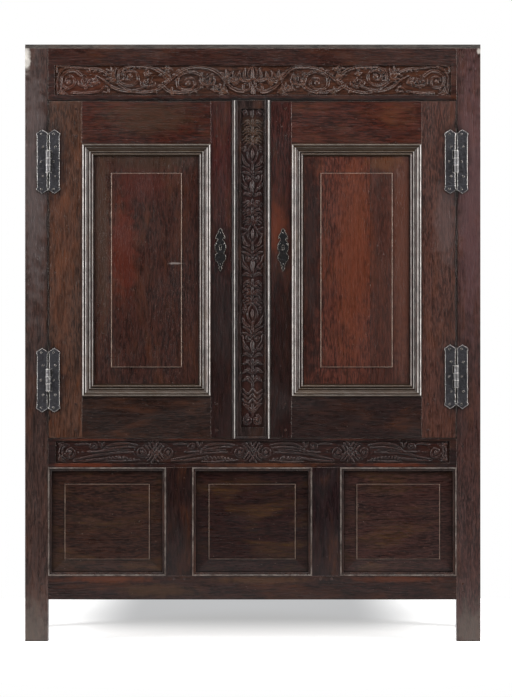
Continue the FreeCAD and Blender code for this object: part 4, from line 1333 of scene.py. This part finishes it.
@dataclass
class Ironwork:
    """Finishes of the hinges, escutcheons and locks, and the nails that hold them."""

    leaf_width: float = 32 * MM
    leaf_depth: float = 3 * MM
    ear_share: float = 0.07
    nail_shares: tuple[float, ...] = (0.07, 0.27, 0.50, 0.73, 0.93)
    nail_zigzag: float = 3 * MM
    nail_radius: float = 4.2 * MM
    nail_rise: float = 1.8 * MM
    pin_radius: float = 1.9 * MM
    pin_rise: float = 0.9 * MM
    plate_pin_shares: tuple[Pair, ...] = ((0.0, 0.90), (-0.33, 0.645), (0.33, 0.645), (0.0, 0.17))
    # Black wax, with painted highlights on the worn rim and barrels
    black: ForgedIron = ForgedIron(
        "forged iron, waxed black", "#4a494d", "#33302f", "#e2ded9", 0.34, 1.0, 0.6, proud_y=-0.2842
    )
    # Blacker and flatter than the hinges, with only a thin painted highlight on the worn rim
    plate: ForgedIron = ForgedIron(
        "forged escutcheon, waxed black", "#232223", "#2a201c", "#9d978f", 0.4, 0.9, 0.5
    )
    # Small glints on black leaves
    nail: ForgedIron = ForgedIron(
        "forged nail heads, waxed black", "#6a6764", "#33251f", "#d8d4ce", 0.25, 0.5, 0.9
    )
    # Grey steel where the bolt slides and the pin turns
    bright: ForgedIron = ForgedIron("iron worn bright", "#8a8781", "#4a3a30", "#c9c4ba", 0.30, 0.7, 0.95)

    def nails_of(self, leaf: str) -> list[Triple]:
        """Places of one hinge leaf's nails.

        Args:
            leaf: the leaf's node.

        Returns:
            A point on the leaf's face for each nail.
        """
        low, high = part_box(leaf)
        outer_is_low = ("frame" in leaf) == leaf.startswith("left")
        inset = (0.5 + self.ear_share) * self.leaf_width
        middle = low.x + inset if outer_is_low else high.x - inset
        face = FRONT - self.leaf_depth
        places = []
        for number, share in enumerate(self.nail_shares):
            aside = self.nail_zigzag * (1 if number % 2 else -1)
            places.append((middle + aside, face, low.z + share * (high.z - low.z)))
        return places

    def build(self) -> None:
        """Dress the iron nodes and drive the nails."""
        finishes = {"black_iron": self.black.material(), "bright_iron": self.bright.material()}
        plate = self.plate.material()
        nail = self.nail.material()
        leaves: dict[str, list[Triple]] = {"case": [], "left_door": [], "right_door": []}
        for name, node in frame["nodes"].items():
            slot = node.material_slots[0].material.name
            if slot in finishes:
                node.data.materials[0] = plate if "escutcheon" in name else finishes[slot]
            if name.endswith("frame_leaf"):
                leaves["case"] += self.nails_of(name)
            elif name.endswith("door_leaf"):
                leaves[name.split("_")[0] + "_door"] += self.nails_of(name)
        for number, (body, places) in enumerate(leaves.items()):
            Fixings(
                f"{body}_hinge_nails", body, "black_iron", nail, HeadShape.DOME, self.nail_radius,
                self.nail_rise, places, number,
            ).build()
        for number, side in enumerate(("left", "right")):
            low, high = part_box(f"{side}_escutcheon")
            middle = (low.x + high.x) / 2
            places = [
                (middle + u * (high.x - low.x), low.y, low.z + v * (high.z - low.z))
                for u, v in self.plate_pin_shares
            ]
            Fixings(
                f"{side}_escutcheon_pins", f"{side}_door", "black_iron", nail, HeadShape.DOME,
                self.pin_radius, self.pin_rise, places, number,
            ).build()


@dataclass
class Pegs:
    """Riven oak pegs that draw the joints tight, standing a hair proud."""

    radius: float = 4.2 * MM
    rise: float = 0.7 * MM
    from_shoulder: float = 19 * MM
    from_edge: float = 24 * MM
    from_rail: float = 9 * MM
    width_parts: float = 5
    first_seed: int = 20
    # End grain, a shade darker than the boards and hardly rubbed
    finish: WaxedOak = WaxedOak("oak peg ends, waxed", "#2c1b17", Grain.DEEP, wear_and_highlight_strength=0.4, round_mm=0.8)

    def joint(self, rail: str, shoulder_x: float, into: float) -> list[Triple]:
        """Two pegs through the tenon at one end of a rail.

        Args:
            rail: the rail's node.
            shoulder_x: where the rail's shoulder meets the stile.
            into: the side of the shoulder on which the stile lies.

        Returns:
            The pegs' places.
        """
        low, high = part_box(rail)
        x = shoulder_x + into * self.from_shoulder
        return [(x, low.y, low.z + self.from_edge), (x, low.y, high.z - self.from_edge)]

    def post(self, upright: str, rail: str) -> list[Triple]:
        """Two pegs through the tenon where an upright enters a rail.

        Args:
            upright: the upright's node.
            rail: the rail's node.

        Returns:
            The pegs' places.
        """
        low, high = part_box(upright)
        under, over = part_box(rail)
        middle = (low.x + high.x) / 2
        half = (high.x - low.x) / self.width_parts
        above = under.z > (low.z + high.z) / 2
        z = under.z + self.from_rail if above else over.z - self.from_rail
        return [(middle - half, under.y, z), (middle + half, under.y, z)]

    def build(self) -> None:
        """Set the pegs of the case front and of both doors."""
        wood = self.finish.material()
        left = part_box("front_left_stile")[1].x
        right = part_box("front_right_stile")[0].x
        case: list[Triple] = []
        for rail in ("frieze_rail", "mid_rail", "bottom_rail"):
            case += self.joint(rail, left, -1) + self.joint(rail, right, 1)
        for upright in ("lower_left_muntin", "lower_right_muntin"):
            case += self.post(upright, "bottom_rail")
        sets = {"case": case}
        for side in ("left", "right"):
            stiles = [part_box(f"{side}_door_{which}_stile") for which in ("hinge", "lock")]
            stiles.sort(key=lambda box: box[0].x)
            shoulders = ((stiles[0][1].x, -1), (stiles[1][0].x, 1))
            door: list[Triple] = []
            for rail in (f"{side}_door_top_rail", f"{side}_door_bottom_rail"):
                for shoulder_x, into in shoulders:
                    door += self.joint(rail, shoulder_x, into)
            sets[f"{side}_door"] = door
        for number, (body, places) in enumerate(sets.items()):
            Fixings(
                f"{body}_pegs", body, "frame_oak", wood, HeadShape.PEG, self.radius, self.rise, places,
                self.first_seed + number,
            ).build()


def seams_of(node: str, count: int, axis: Grain) -> tuple[float, ...]:
    """Where boards of equal width meet.

    Args:
        node: the node that holds the boards.
        count: how many boards there are.
        axis: the axis along which they lie side by side.

    Returns:
        The joints' places on that axis, in metres.
    """
    low, high = (corner[axis.value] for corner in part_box(node))
    return tuple(low + (high - low) * number / count for number in range(1, count))


class Woodwork:
    """Finishes of every oak board, each with its own grain, tone and marks.

    The marks lie where the photograph shows them: a patch's middle and reach are metres on the front.
    """

    # Painted shadow, near black, in gaps, notches and seams
    PAINTED_SHADOW = "#080505"
    RED = "#6b3018"
    HINGE_Z = 1.511
    HALO_DROP = 0.006
    SEAM_OUT = 0.0025
    # What shows of every bead: a hard bright painted highlight line, with its edges hardly worn elsewhere
    BEADS = {"wear_and_highlight": "#e6e0da", "wear_and_highlight_strength": 0.15, "round_mm": 0.9, "sheen": 0.2}
    # Painted highlights along the door mouldings' beads, and painted shade along their grooves
    DOOR_CRESTS = (
        Crest(3.9, 2.3, 0.95), Crest(7.8, 1.8, 0.8, True), Crest(11.8, 2.0, 0.8), Crest(18.5, 1.6, 0.3),
        Crest(24.8, 2.0, 0.7), Crest(28.4, 1.8, 0.8, True), Crest(33.2, 1.7, 0.5),
        Crest(37.8, 1.6, 0.8, True),
    )
    # Painted highlights along the muntin's two beads
    MUNTIN_CRESTS = (Crest(-57.5, 2.2, 0.7), Crest(50.5, 2.2, 0.9))
    # The thin painted highlight line that runs round the raised field of a panel
    DOOR_FIELD = {"wear_and_highlight": "#ad9686", "wear_and_highlight_strength": 0.4, "crests": (Crest(100.8, 1.6, 0.7),)}
    # The same painted highlight line round the raised fields of the lower panels
    LOW_FIELD = {
        "wear_and_highlight": "#ad9686", "wear_and_highlight_strength": 0.4, "crests": (Crest(61.2, 1.5, 0.45),), "sheen": 0.22,
        "warm": "#5a3f22",
    }
    # Oak that was never waxed, dull and brown
    DRY = {"wear_and_highlight": "#9a8468", "roughness": 0.62, "wear_and_highlight_strength": 0.5, "seam_colour": "#58432d"}
    TOP_MARGIN = 0.7 * MM

    def __init__(self) -> None:
        """Work out every board's finish."""
        self.finishes: dict[str, WaxedOak] = {}
        # Painted shadow in the gap above the doors
        self.painted_gap_shadow = Patch(0.0, 1.705, 0.80, 0.008, self.PAINTED_SHADOW, 0.95)
        self.left_hinge_shadows = self.hinge_shadows(-0.642, -0.632, 0.823, 0.7)
        self.right_hinge_shadows = self.hinge_shadows(0.639, 0.636, 0.834, 0.6)
        self.case_front()
        self.doors()
        self.panels()
        self.sides_and_inside()

    def hinge_shadows(self, notch_x: float, halo_x: float, low_z: float, halo: float) -> tuple[Patch, ...]:
        """Painted shadow in the notches of a door's hinges and round them, and in the seam beside the door.

        Args:
            notch_x: where the notches are.
            halo_x: the middle of the painted shadow round a hinge.
            low_z: the level of the lower hinge.
            halo: how strongly that shadow is painted.

        Returns:
            The patches, for the stiles on both sides of the seam.
        """
        levels = (self.HINGE_Z, low_z)
        # Painted shadow in the notches, round the hinges and in the seam
        marks = [Patch(notch_x, z, 0.016, 0.12, self.PAINTED_SHADOW, 0.95) for z in levels]
        marks += [Patch(halo_x, z - self.HALO_DROP, 0.052, 0.130, "#1b1415", halo) for z in levels]
        seam_x = notch_x + math.copysign(self.SEAM_OUT, notch_x)
        marks.append(Patch(seam_x, 1.17, 0.006, 0.75, self.PAINTED_SHADOW, 0.8))
        return tuple(marks)

    def oak(self, node: str, body: str, grain: Grain, *patches: Patch, **more: object) -> None:
        """Give one node its finish.

        Args:
            node: the node's name.
            body: the colour of its wood.
            grain: the way its fibres run.
            *patches: its marks.
            **more: what else its finish has.
        """
        name = f"waxed oak, {node.replace('_', ' ')}"
        self.finishes[node] = WaxedOak(name, body, grain, patches=patches, **more)

    def case_front(self) -> None:
        """The frame of the case's front: stiles greyed at the feet and with a painted grey sheen above,
        rails with red and ochre streaks.
        """
        self.oak(
            "front_left_stile", "#31211d", Grain.UPRIGHT,
            Patch(-0.69, 0.0, 0.06, 0.13, "#594e46", 0.6),
            Patch(-0.714, 1.832, 0.015, 0.04, "#d6d1c9", 0.95),
            # Painted sheen: a paler grey band down the stile
            Patch(-0.690, 1.45, 0.05, 0.42, "#5d5453", 0.5),
            *self.left_hinge_shadows,
        )
        self.oak(
            "front_right_stile", "#35211e", Grain.UPRIGHT,
            Patch(0.69, 0.0, 0.06, 0.13, "#594e46", 0.6),
            # Painted sheen: a paler grey band down the stile
            Patch(0.690, 1.40, 0.05, 0.45, "#5e4446", 0.5),
            Patch(0.713, 1.858, 0.007, 0.010, "#c4bdb5", 0.7),
            *self.right_hinge_shadows,
        )
        self.oak("frieze_rail", "#28120d", Grain.ACROSS, self.painted_gap_shadow)
        self.oak(
            "mid_rail", "#1a0b0a", Grain.ACROSS,
            Patch(-0.53, 0.556, 0.13, 0.009, self.RED, 0.5),
            Patch(-0.50, 0.636, 0.12, 0.005, self.RED, 0.3),
            Patch(-0.20, 0.637, 0.08, 0.004, self.RED, 0.2),
            Patch(0.03, 0.555, 0.16, 0.009, "#66381e", 0.45),
            Patch(0.30, 0.637, 0.08, 0.004, self.RED, 0.2),
            Patch(0.44, 0.556, 0.12, 0.008, self.RED, 0.45),
            sheen=0.35,
        )
        self.oak(
            "bottom_rail", "#21110e", Grain.ACROSS,
            Patch(-0.46, 0.196, 0.17, 0.012, "#5c301d", 0.5),
            Patch(-0.30, 0.160, 0.12, 0.022, "#4a3320", 0.4),
            Patch(0.02, 0.194, 0.16, 0.012, "#4f3522", 0.5),
            Patch(0.46, 0.196, 0.15, 0.011, "#5a2f1d", 0.5),
            sheen=0.3,
        )
        self.oak("centre_muntin", "#261c1a", Grain.UPRIGHT, crests=self.MUNTIN_CRESTS, **self.BEADS)
        self.oak("lower_left_muntin", "#1a0b09", Grain.UPRIGHT, sheen=0.35)
        self.oak("lower_right_muntin", "#170a0b", Grain.UPRIGHT, sheen=0.35)

    def doors(self) -> None:
        """The doors' frames: redder than the case, and black where hands hold the lock stiles."""
        self.oak(
            "left_door_hinge_stile", "#3b261d", Grain.UPRIGHT,
            Patch(-0.60, 1.22, 0.05, 0.34, "#55352a", 0.6, False),
            *self.left_hinge_shadows,
            warm="#6b3a1e",
        )
        self.oak(
            "right_door_hinge_stile", "#3e2620", Grain.UPRIGHT,
            # Painted sheen: a paler grey patch below the upper hinge
            Patch(0.605, 1.31, 0.04, 0.13, "#5a4a48", 0.5),
            *self.right_hinge_shadows,
        )
        self.oak(
            "left_door_lock_stile", "#2b1210", Grain.UPRIGHT,
            Patch(-0.10, 0.86, 0.09, 0.46, "#150d0c", 0.7),
            Patch(-0.106, 1.50, 0.04, 0.24, "#461b18", 0.6, False),
        )
        self.oak(
            "right_door_lock_stile", "#2c110d", Grain.UPRIGHT,
            Patch(0.09, 0.86, 0.09, 0.46, "#120b0a", 0.7),
            Patch(0.073, 1.296, 0.035, 0.09, "#66301c", 0.5),
        )
        brown = Patch(-0.32, 1.65, 0.16, 0.06, "#3f2c1e", 0.5)
        ochre = Patch(0.46, 1.66, 0.06, 0.05, "#5a3620", 0.6, False)
        self.oak("left_door_top_rail", "#2f110a", Grain.ACROSS, brown, self.painted_gap_shadow)
        self.oak("right_door_top_rail", "#33150e", Grain.ACROSS, ochre, self.painted_gap_shadow)
        self.oak("left_door_bottom_rail", "#1f100b", Grain.ACROSS)
        self.oak("right_door_bottom_rail", "#1e110f", Grain.ACROSS)
        for side in ("left", "right"):
            node = f"{side}_door_moulding"
            ring = Ring.of(node, 0.17, mitred=True)
            warm = {"warm": "#6b5230", "crests": self.DOOR_CRESTS}
            self.oak(node, "#35231f", Grain.UPRIGHT, ring=ring, **warm, **self.BEADS)

    def panels(self) -> None:
        """The doors' glowing panels and the darker ones below, each with a painted highlight line round its
        raised field.
        """
        self.oak(
            "left_door_panel", "#2c1611", Grain.UPRIGHT,
            Patch(-0.41, 1.23, 0.05, 0.16, "#5e2518", 0.45),
            Patch(-0.355, 1.45, 0.09, 0.08, "#4f2019", 0.4),
            Patch(-0.33, 1.52, 0.15, 0.05, "#33261c", 0.6),
            Patch(-0.475, 1.28, 0.03, 0.36, "#423026", 0.6),
            Patch(-0.241, 1.191, 0.024, 0.0035, "#8f8580", 0.65),
            ring=Ring.of("left_door_panel"), **self.DOOR_FIELD,
        )
        self.oak(
            "right_door_panel", "#422119", Grain.UPRIGHT,
            Patch(0.32, 1.22, 0.06, 0.36, "#6a3520", 0.45),
            Patch(0.186, 1.2, 0.034, 0.5, "#180c0b", 0.75),
            Patch(0.475, 1.25, 0.04, 0.45, "#5a362a", 0.6),
            Patch(0.416, 1.51, 0.06, 0.03, "#5a371f", 0.5),
            Patch(0.30, 0.85, 0.14, 0.08, "#241310", 0.5, False),
            ring=Ring.of("right_door_panel"), seams=(0.371,), seam_colour="#35221d", **self.DOOR_FIELD,
        )
        for place, body in (("left", "#271611"), ("centre", "#1e0e0c"), ("right", "#2b1916")):
            node = f"lower_{place}_panel"
            self.oak(node, body, Grain.ACROSS, ring=Ring.of(node), **self.LOW_FIELD)
        node = "lower_panel_mouldings"
        # A painted highlight on the mouldings' proud tops, partly their worn paling
        proud = {"proud_y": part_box(node)[0].y + self.TOP_MARGIN, "wear_and_highlight": "#b0a49b", "wear_and_highlight_strength": 0.5}
        self.oak(node, "#2a1d1a", Grain.UPRIGHT, sheen=0.2, **proud)

    def sides_and_inside(self) -> None:
        """The plain sides, the dull top, and the dry boards that nobody waxes."""
        for side in ("left", "right"):
            self.oak(f"rear_{side}_stile", "#3a2a26", Grain.UPRIGHT)
            for level in ("top", "mid", "bottom"):
                self.oak(f"{side}_side_{level}_rail", "#3b2a26", Grain.DEEP)
            for level in ("upper", "lower"):
                self.oak(f"{side}_side_{level}_panel", "#3d2a25", Grain.UPRIGHT)
        top = {"roughness": 0.55, "wear_and_highlight": "#a39c90", "seam_colour": "#2e2926", "seam_axis": Grain.DEEP}
        top["seams"] = seams_of("top_boards", 2, Grain.DEEP)
        self.oak("top_boards", "#36302c", Grain.ACROSS, **top)
        for node, grain, count, axis in (
            ("back_boards", Grain.UPRIGHT, 6, Grain.ACROSS),
            ("bottom_boards", Grain.DEEP, 6, Grain.ACROSS),
            ("shelf_boards", Grain.ACROSS, 3, Grain.DEEP),
            ("shelf_bearers", Grain.DEEP, 1, Grain.ACROSS),
            ("floor_bearers", Grain.ACROSS, 1, Grain.ACROSS),
            ("door_stops", Grain.ACROSS, 1, Grain.ACROSS),
            ("rear_top_rail", Grain.ACROSS, 1, Grain.ACROSS),
            ("rear_bottom_rail", Grain.ACROSS, 1, Grain.ACROSS),
        ):
            self.oak(node, "#6b5238", grain, seams=seams_of(node, count, axis), seam_axis=axis, **self.DRY)

    def build(self) -> None:
        """Give every oak node its finish."""
        for node, finish in self.finishes.items():
            frame["nodes"][node].data.materials[0] = finish.material()
            log.info("%s: %s", node, finish.name)

    def carvings(self) -> list[CarvedBand]:
        """The three carved bands, set in the sunk grounds of the rails and the muntin.

        Returns:
            The bands, ready to build.
        """
        red = Patch(-0.55, 1.75, 0.09, 0.05, "#5e2c1d", 0.4)
        ochre = Patch(0.0, 1.605, 0.05, 0.05, "#4a3620", 0.4)
        # Each carving: painted shade in its sunk ground and painted highlights on its rims
        cut = {"round_mm": 0.5, "carved": True}
        # Crisp high leaves with tan tops
        frieze = {"wear_and_highlight": "#b39d87", "wear_and_highlight_strength": 0.7, "roughness": 0.2, "sheen": 0.4, "patches": (red,)}
        # A low ribbon, darker and greyer
        ribbon = {"wear_and_highlight": "#b3a193", "wear_and_highlight_strength": 0.6, "sheen": 0.3}
        # Black-brown leaves with grey tops, browner at the head
        strip = {"wear_and_highlight": "#b5a695", "wear_and_highlight_strength": 0.65, "sheen": 0.35, "patches": (ochre,)}
        upper = WaxedOak("carved oak, frieze", "#40251a", Grain.ACROSS, **cut, **frieze)
        lower = WaxedOak("carved oak, mid rail", "#2a130f", Grain.ACROSS, **cut, **ribbon)
        middle = WaxedOak("carved oak, muntin", "#2a1513", Grain.UPRIGHT, **cut, **strip)
        return [
            FriezeCarving("frieze_carving", upper, 1.248, 0.093, -0.624, 1.721, 3),
            MidRailCarving("mid_rail_carving", lower, 1.241, 0.069, -0.6205, 0.562, 4),
            MuntinCarving("muntin_carving", middle, 0.071, 1.004, -0.0365, 0.674, 5),
        ]


@dataclass
class Studio:
    """White floor, soft lamps and the camera, placed as the photograph was taken."""

    distance: float = 9.5
    view_height: float = 2.195
    aim: Pair = (0.0102, 0.9226)
    sensor: float = 36.0
    floor_radius: float = 1.6
    room: float = 0.06
    floor_glow: float = 0.84
    # The painted shadow on the floor: its middle, the reach in which it is full, the reach over which it
    # fades, and the paper's glow inside it
    painted_shadow_centre: Triple = (-0.02, 1.25, 0.0)
    painted_shadow_flat: Triple = (0.36, 0.68, 1.0)
    painted_shadow_fade: Triple = (0.36, 0.70, 1.0)
    painted_shadow_glow: float = 0.47

    def floor(self) -> None:
        """A round of white paper under the object, white to the eye, taking its shadow, with a painted
        shadow under and behind it.
        """
        steps = 64
        rim = [index / steps * math.tau for index in range(steps)]
        radius = self.floor_radius
        points = [(radius * math.cos(turn), radius * math.sin(turn), 0.0) for turn in rim]
        mesh = bpy.data.meshes.new("studio_floor")
        mesh.from_pydata(points, [], [tuple(range(steps))])
        floor = show("studio_floor", mesh)
        # Matt paper, which gives the eye an even white, with a soft grey shadow painted under and behind the
        # case
        surface = Surface("matt white paper", "#e9e9e9")
        path = surface.node("LightPath").outputs
        through = path["Is Transmission Ray"]
        seen = surface.node("Math", {0: path["Is Camera Ray"], 1: through}, operation="ADD")
        seen = surface.node("Math", {0: seen, 1: path["Is Glossy Ray"]}, operation="ADD")
        surface.stain("#e4e4e3", surface.spots(surface.place, (0.6,) * 3, (0.3, 0.7)), 1.0)
        fade = tuple(1 / reach for reach in self.painted_shadow_fade)
        off = surface.node("VectorMath", {0: surface.place, 1: self.painted_shadow_centre}, operation="SUBTRACT")
        off = surface.node("VectorMath", {0: off}, operation="ABSOLUTE")
        past = surface.node("VectorMath", {0: off, 1: self.painted_shadow_flat}, operation="SUBTRACT")
        past = surface.node("VectorMath", {0: past, 1: (0.0, 0.0, 0.0)}, operation="MAXIMUM")
        shares = surface.node("VectorMath", {0: past, 1: fade}, operation="MULTIPLY")
        far = surface.node("VectorMath", {0: shares}, operation="LENGTH").outputs["Value"]
        span = {"Value": far, "From Min": 1.0, "From Max": 0.0}
        dim = surface.node("MapRange", span, interpolation_type=surface.SOFT)
        # Painted shadow: the paper darker, and glowing less, under and behind the case
        surface.stain("#4a4d52", dim, 1.0)
        glow = surface.node("MapRange", {"Value": dim, "To Min": self.floor_glow, "To Max": self.painted_shadow_glow})
        strength = surface.node("Math", {0: seen, 1: glow}, operation="MULTIPLY")
        paper = surface.node("BsdfDiffuse", {"Color": surface.colour, "Roughness": 0.9})
        light = surface.node("Emission", {"Strength": strength})
        surface.close(surface.node("AddShader", {0: paper, 1: light}))
        mesh.materials.append(surface.material)

    def lamp(self, name: str, place: Triple, aim: Triple, size: Pair, power: float) -> None:
        """Hang one soft box.

        Args:
            name: the lamp's name.
            place: where it hangs.
            aim: the point that it faces.
            size: its width and height, in metres.
            power: its power, in watts.
        """
        data = bpy.data.lights.new(name, "AREA")
        data.shape = "RECTANGLE"
        data.size, data.size_y = size
        data.energy = power
        lamp = show(name, data)
        lamp.location = place
        lamp.rotation_euler = (Vector(aim) - Vector(place)).to_track_quat("-Z", "Y").to_euler()

    def world(self) -> None:
        """A dim room in front and a white backdrop behind, which mirrors and glass see too."""
        world = bpy.data.worlds.new("studio_air")
        bpy.context.scene.world = world
        world.use_nodes = True
        tree = world.node_tree
        tree.nodes.clear()
        path = add(tree, "ShaderNodeLightPath").outputs
        outward = add(tree, "ShaderNodeTexCoord").outputs["Generated"]
        toward = add(tree, "ShaderNodeSeparateXYZ", {0: outward})
        span = {"Value": toward.outputs[1], "From Min": 0.0, "From Max": 0.25}
        behind = add(tree, "ShaderNodeMapRange", span)
        through = path["Is Transmission Ray"]
        mirrored = add(tree, "ShaderNodeMath", {0: path["Is Glossy Ray"], 1: through}, operation="ADD")
        mirrored = add(tree, "ShaderNodeMath", {0: mirrored, 1: behind}, operation="MULTIPLY")
        white = add(tree, "ShaderNodeMath", {0: path["Is Camera Ray"], 1: mirrored}, operation="ADD")
        strength = add(tree, "ShaderNodeMapRange", {"Value": white, "To Min": self.room, "To Max": 1.0})
        air = add(tree, "ShaderNodeBackground", {"Color": (1, 1, 1, 1), "Strength": strength})
        add(tree, "ShaderNodeOutputWorld", {0: air})

    def camera(self) -> None:
        """Stand the camera square in front, so that the frame spans the photograph's."""
        data = bpy.data.cameras.new("camera")
        data.sensor_width = self.sensor
        data.lens = self.sensor * self.distance / self.view_height
        data.clip_end = 60
        camera = show("camera", data)
        camera.location = (self.aim[0], FRONT - self.distance, self.aim[1])
        camera.rotation_euler = (math.pi / 2, 0, 0)
        bpy.context.scene.camera = camera

    def build(self) -> None:
        """Set up the floor, the lamps, the air and the camera."""
        self.floor()
        self.lamp("left_box", (-3.1, -1.35, 1.75), (-0.2, -0.28, 1.0), (1.3, 2.2), 112)
        self.lamp("right_box", (3.1, -1.35, 1.75), (0.2, -0.28, 1.0), (1.3, 2.2), 104)
        self.lamp("top_box", (0.0, -2.3, 4.5), (0.0, -0.1, 1.3), (3.0, 1.3), 125)
        self.world()
        self.camera()
        log.info("studio: camera %.1f m in front", self.distance)


def clear_start_file() -> None:
    """Remove what Blender's own start file holds, such as its cube."""
    keep = set(frame["nodes"].values()) | set(frame["bodies"].values())
    for item in list(bpy.data.objects):
        if item not in keep:
            bpy.data.objects.remove(item)


def main() -> None:
    """Dress the cupboard and set up the studio."""
    logging.basicConfig(level=logging.INFO, format="%(message)s")
    clear_start_file()
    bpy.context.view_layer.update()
    bpy.context.scene.view_settings.view_transform = "Standard"
    wood = Woodwork()
    wood.build()
    for band in wood.carvings():
        band.build()
    Pegs().build()
    Ironwork().build()
    Studio().build()


if __name__ == "__main__":
    main()
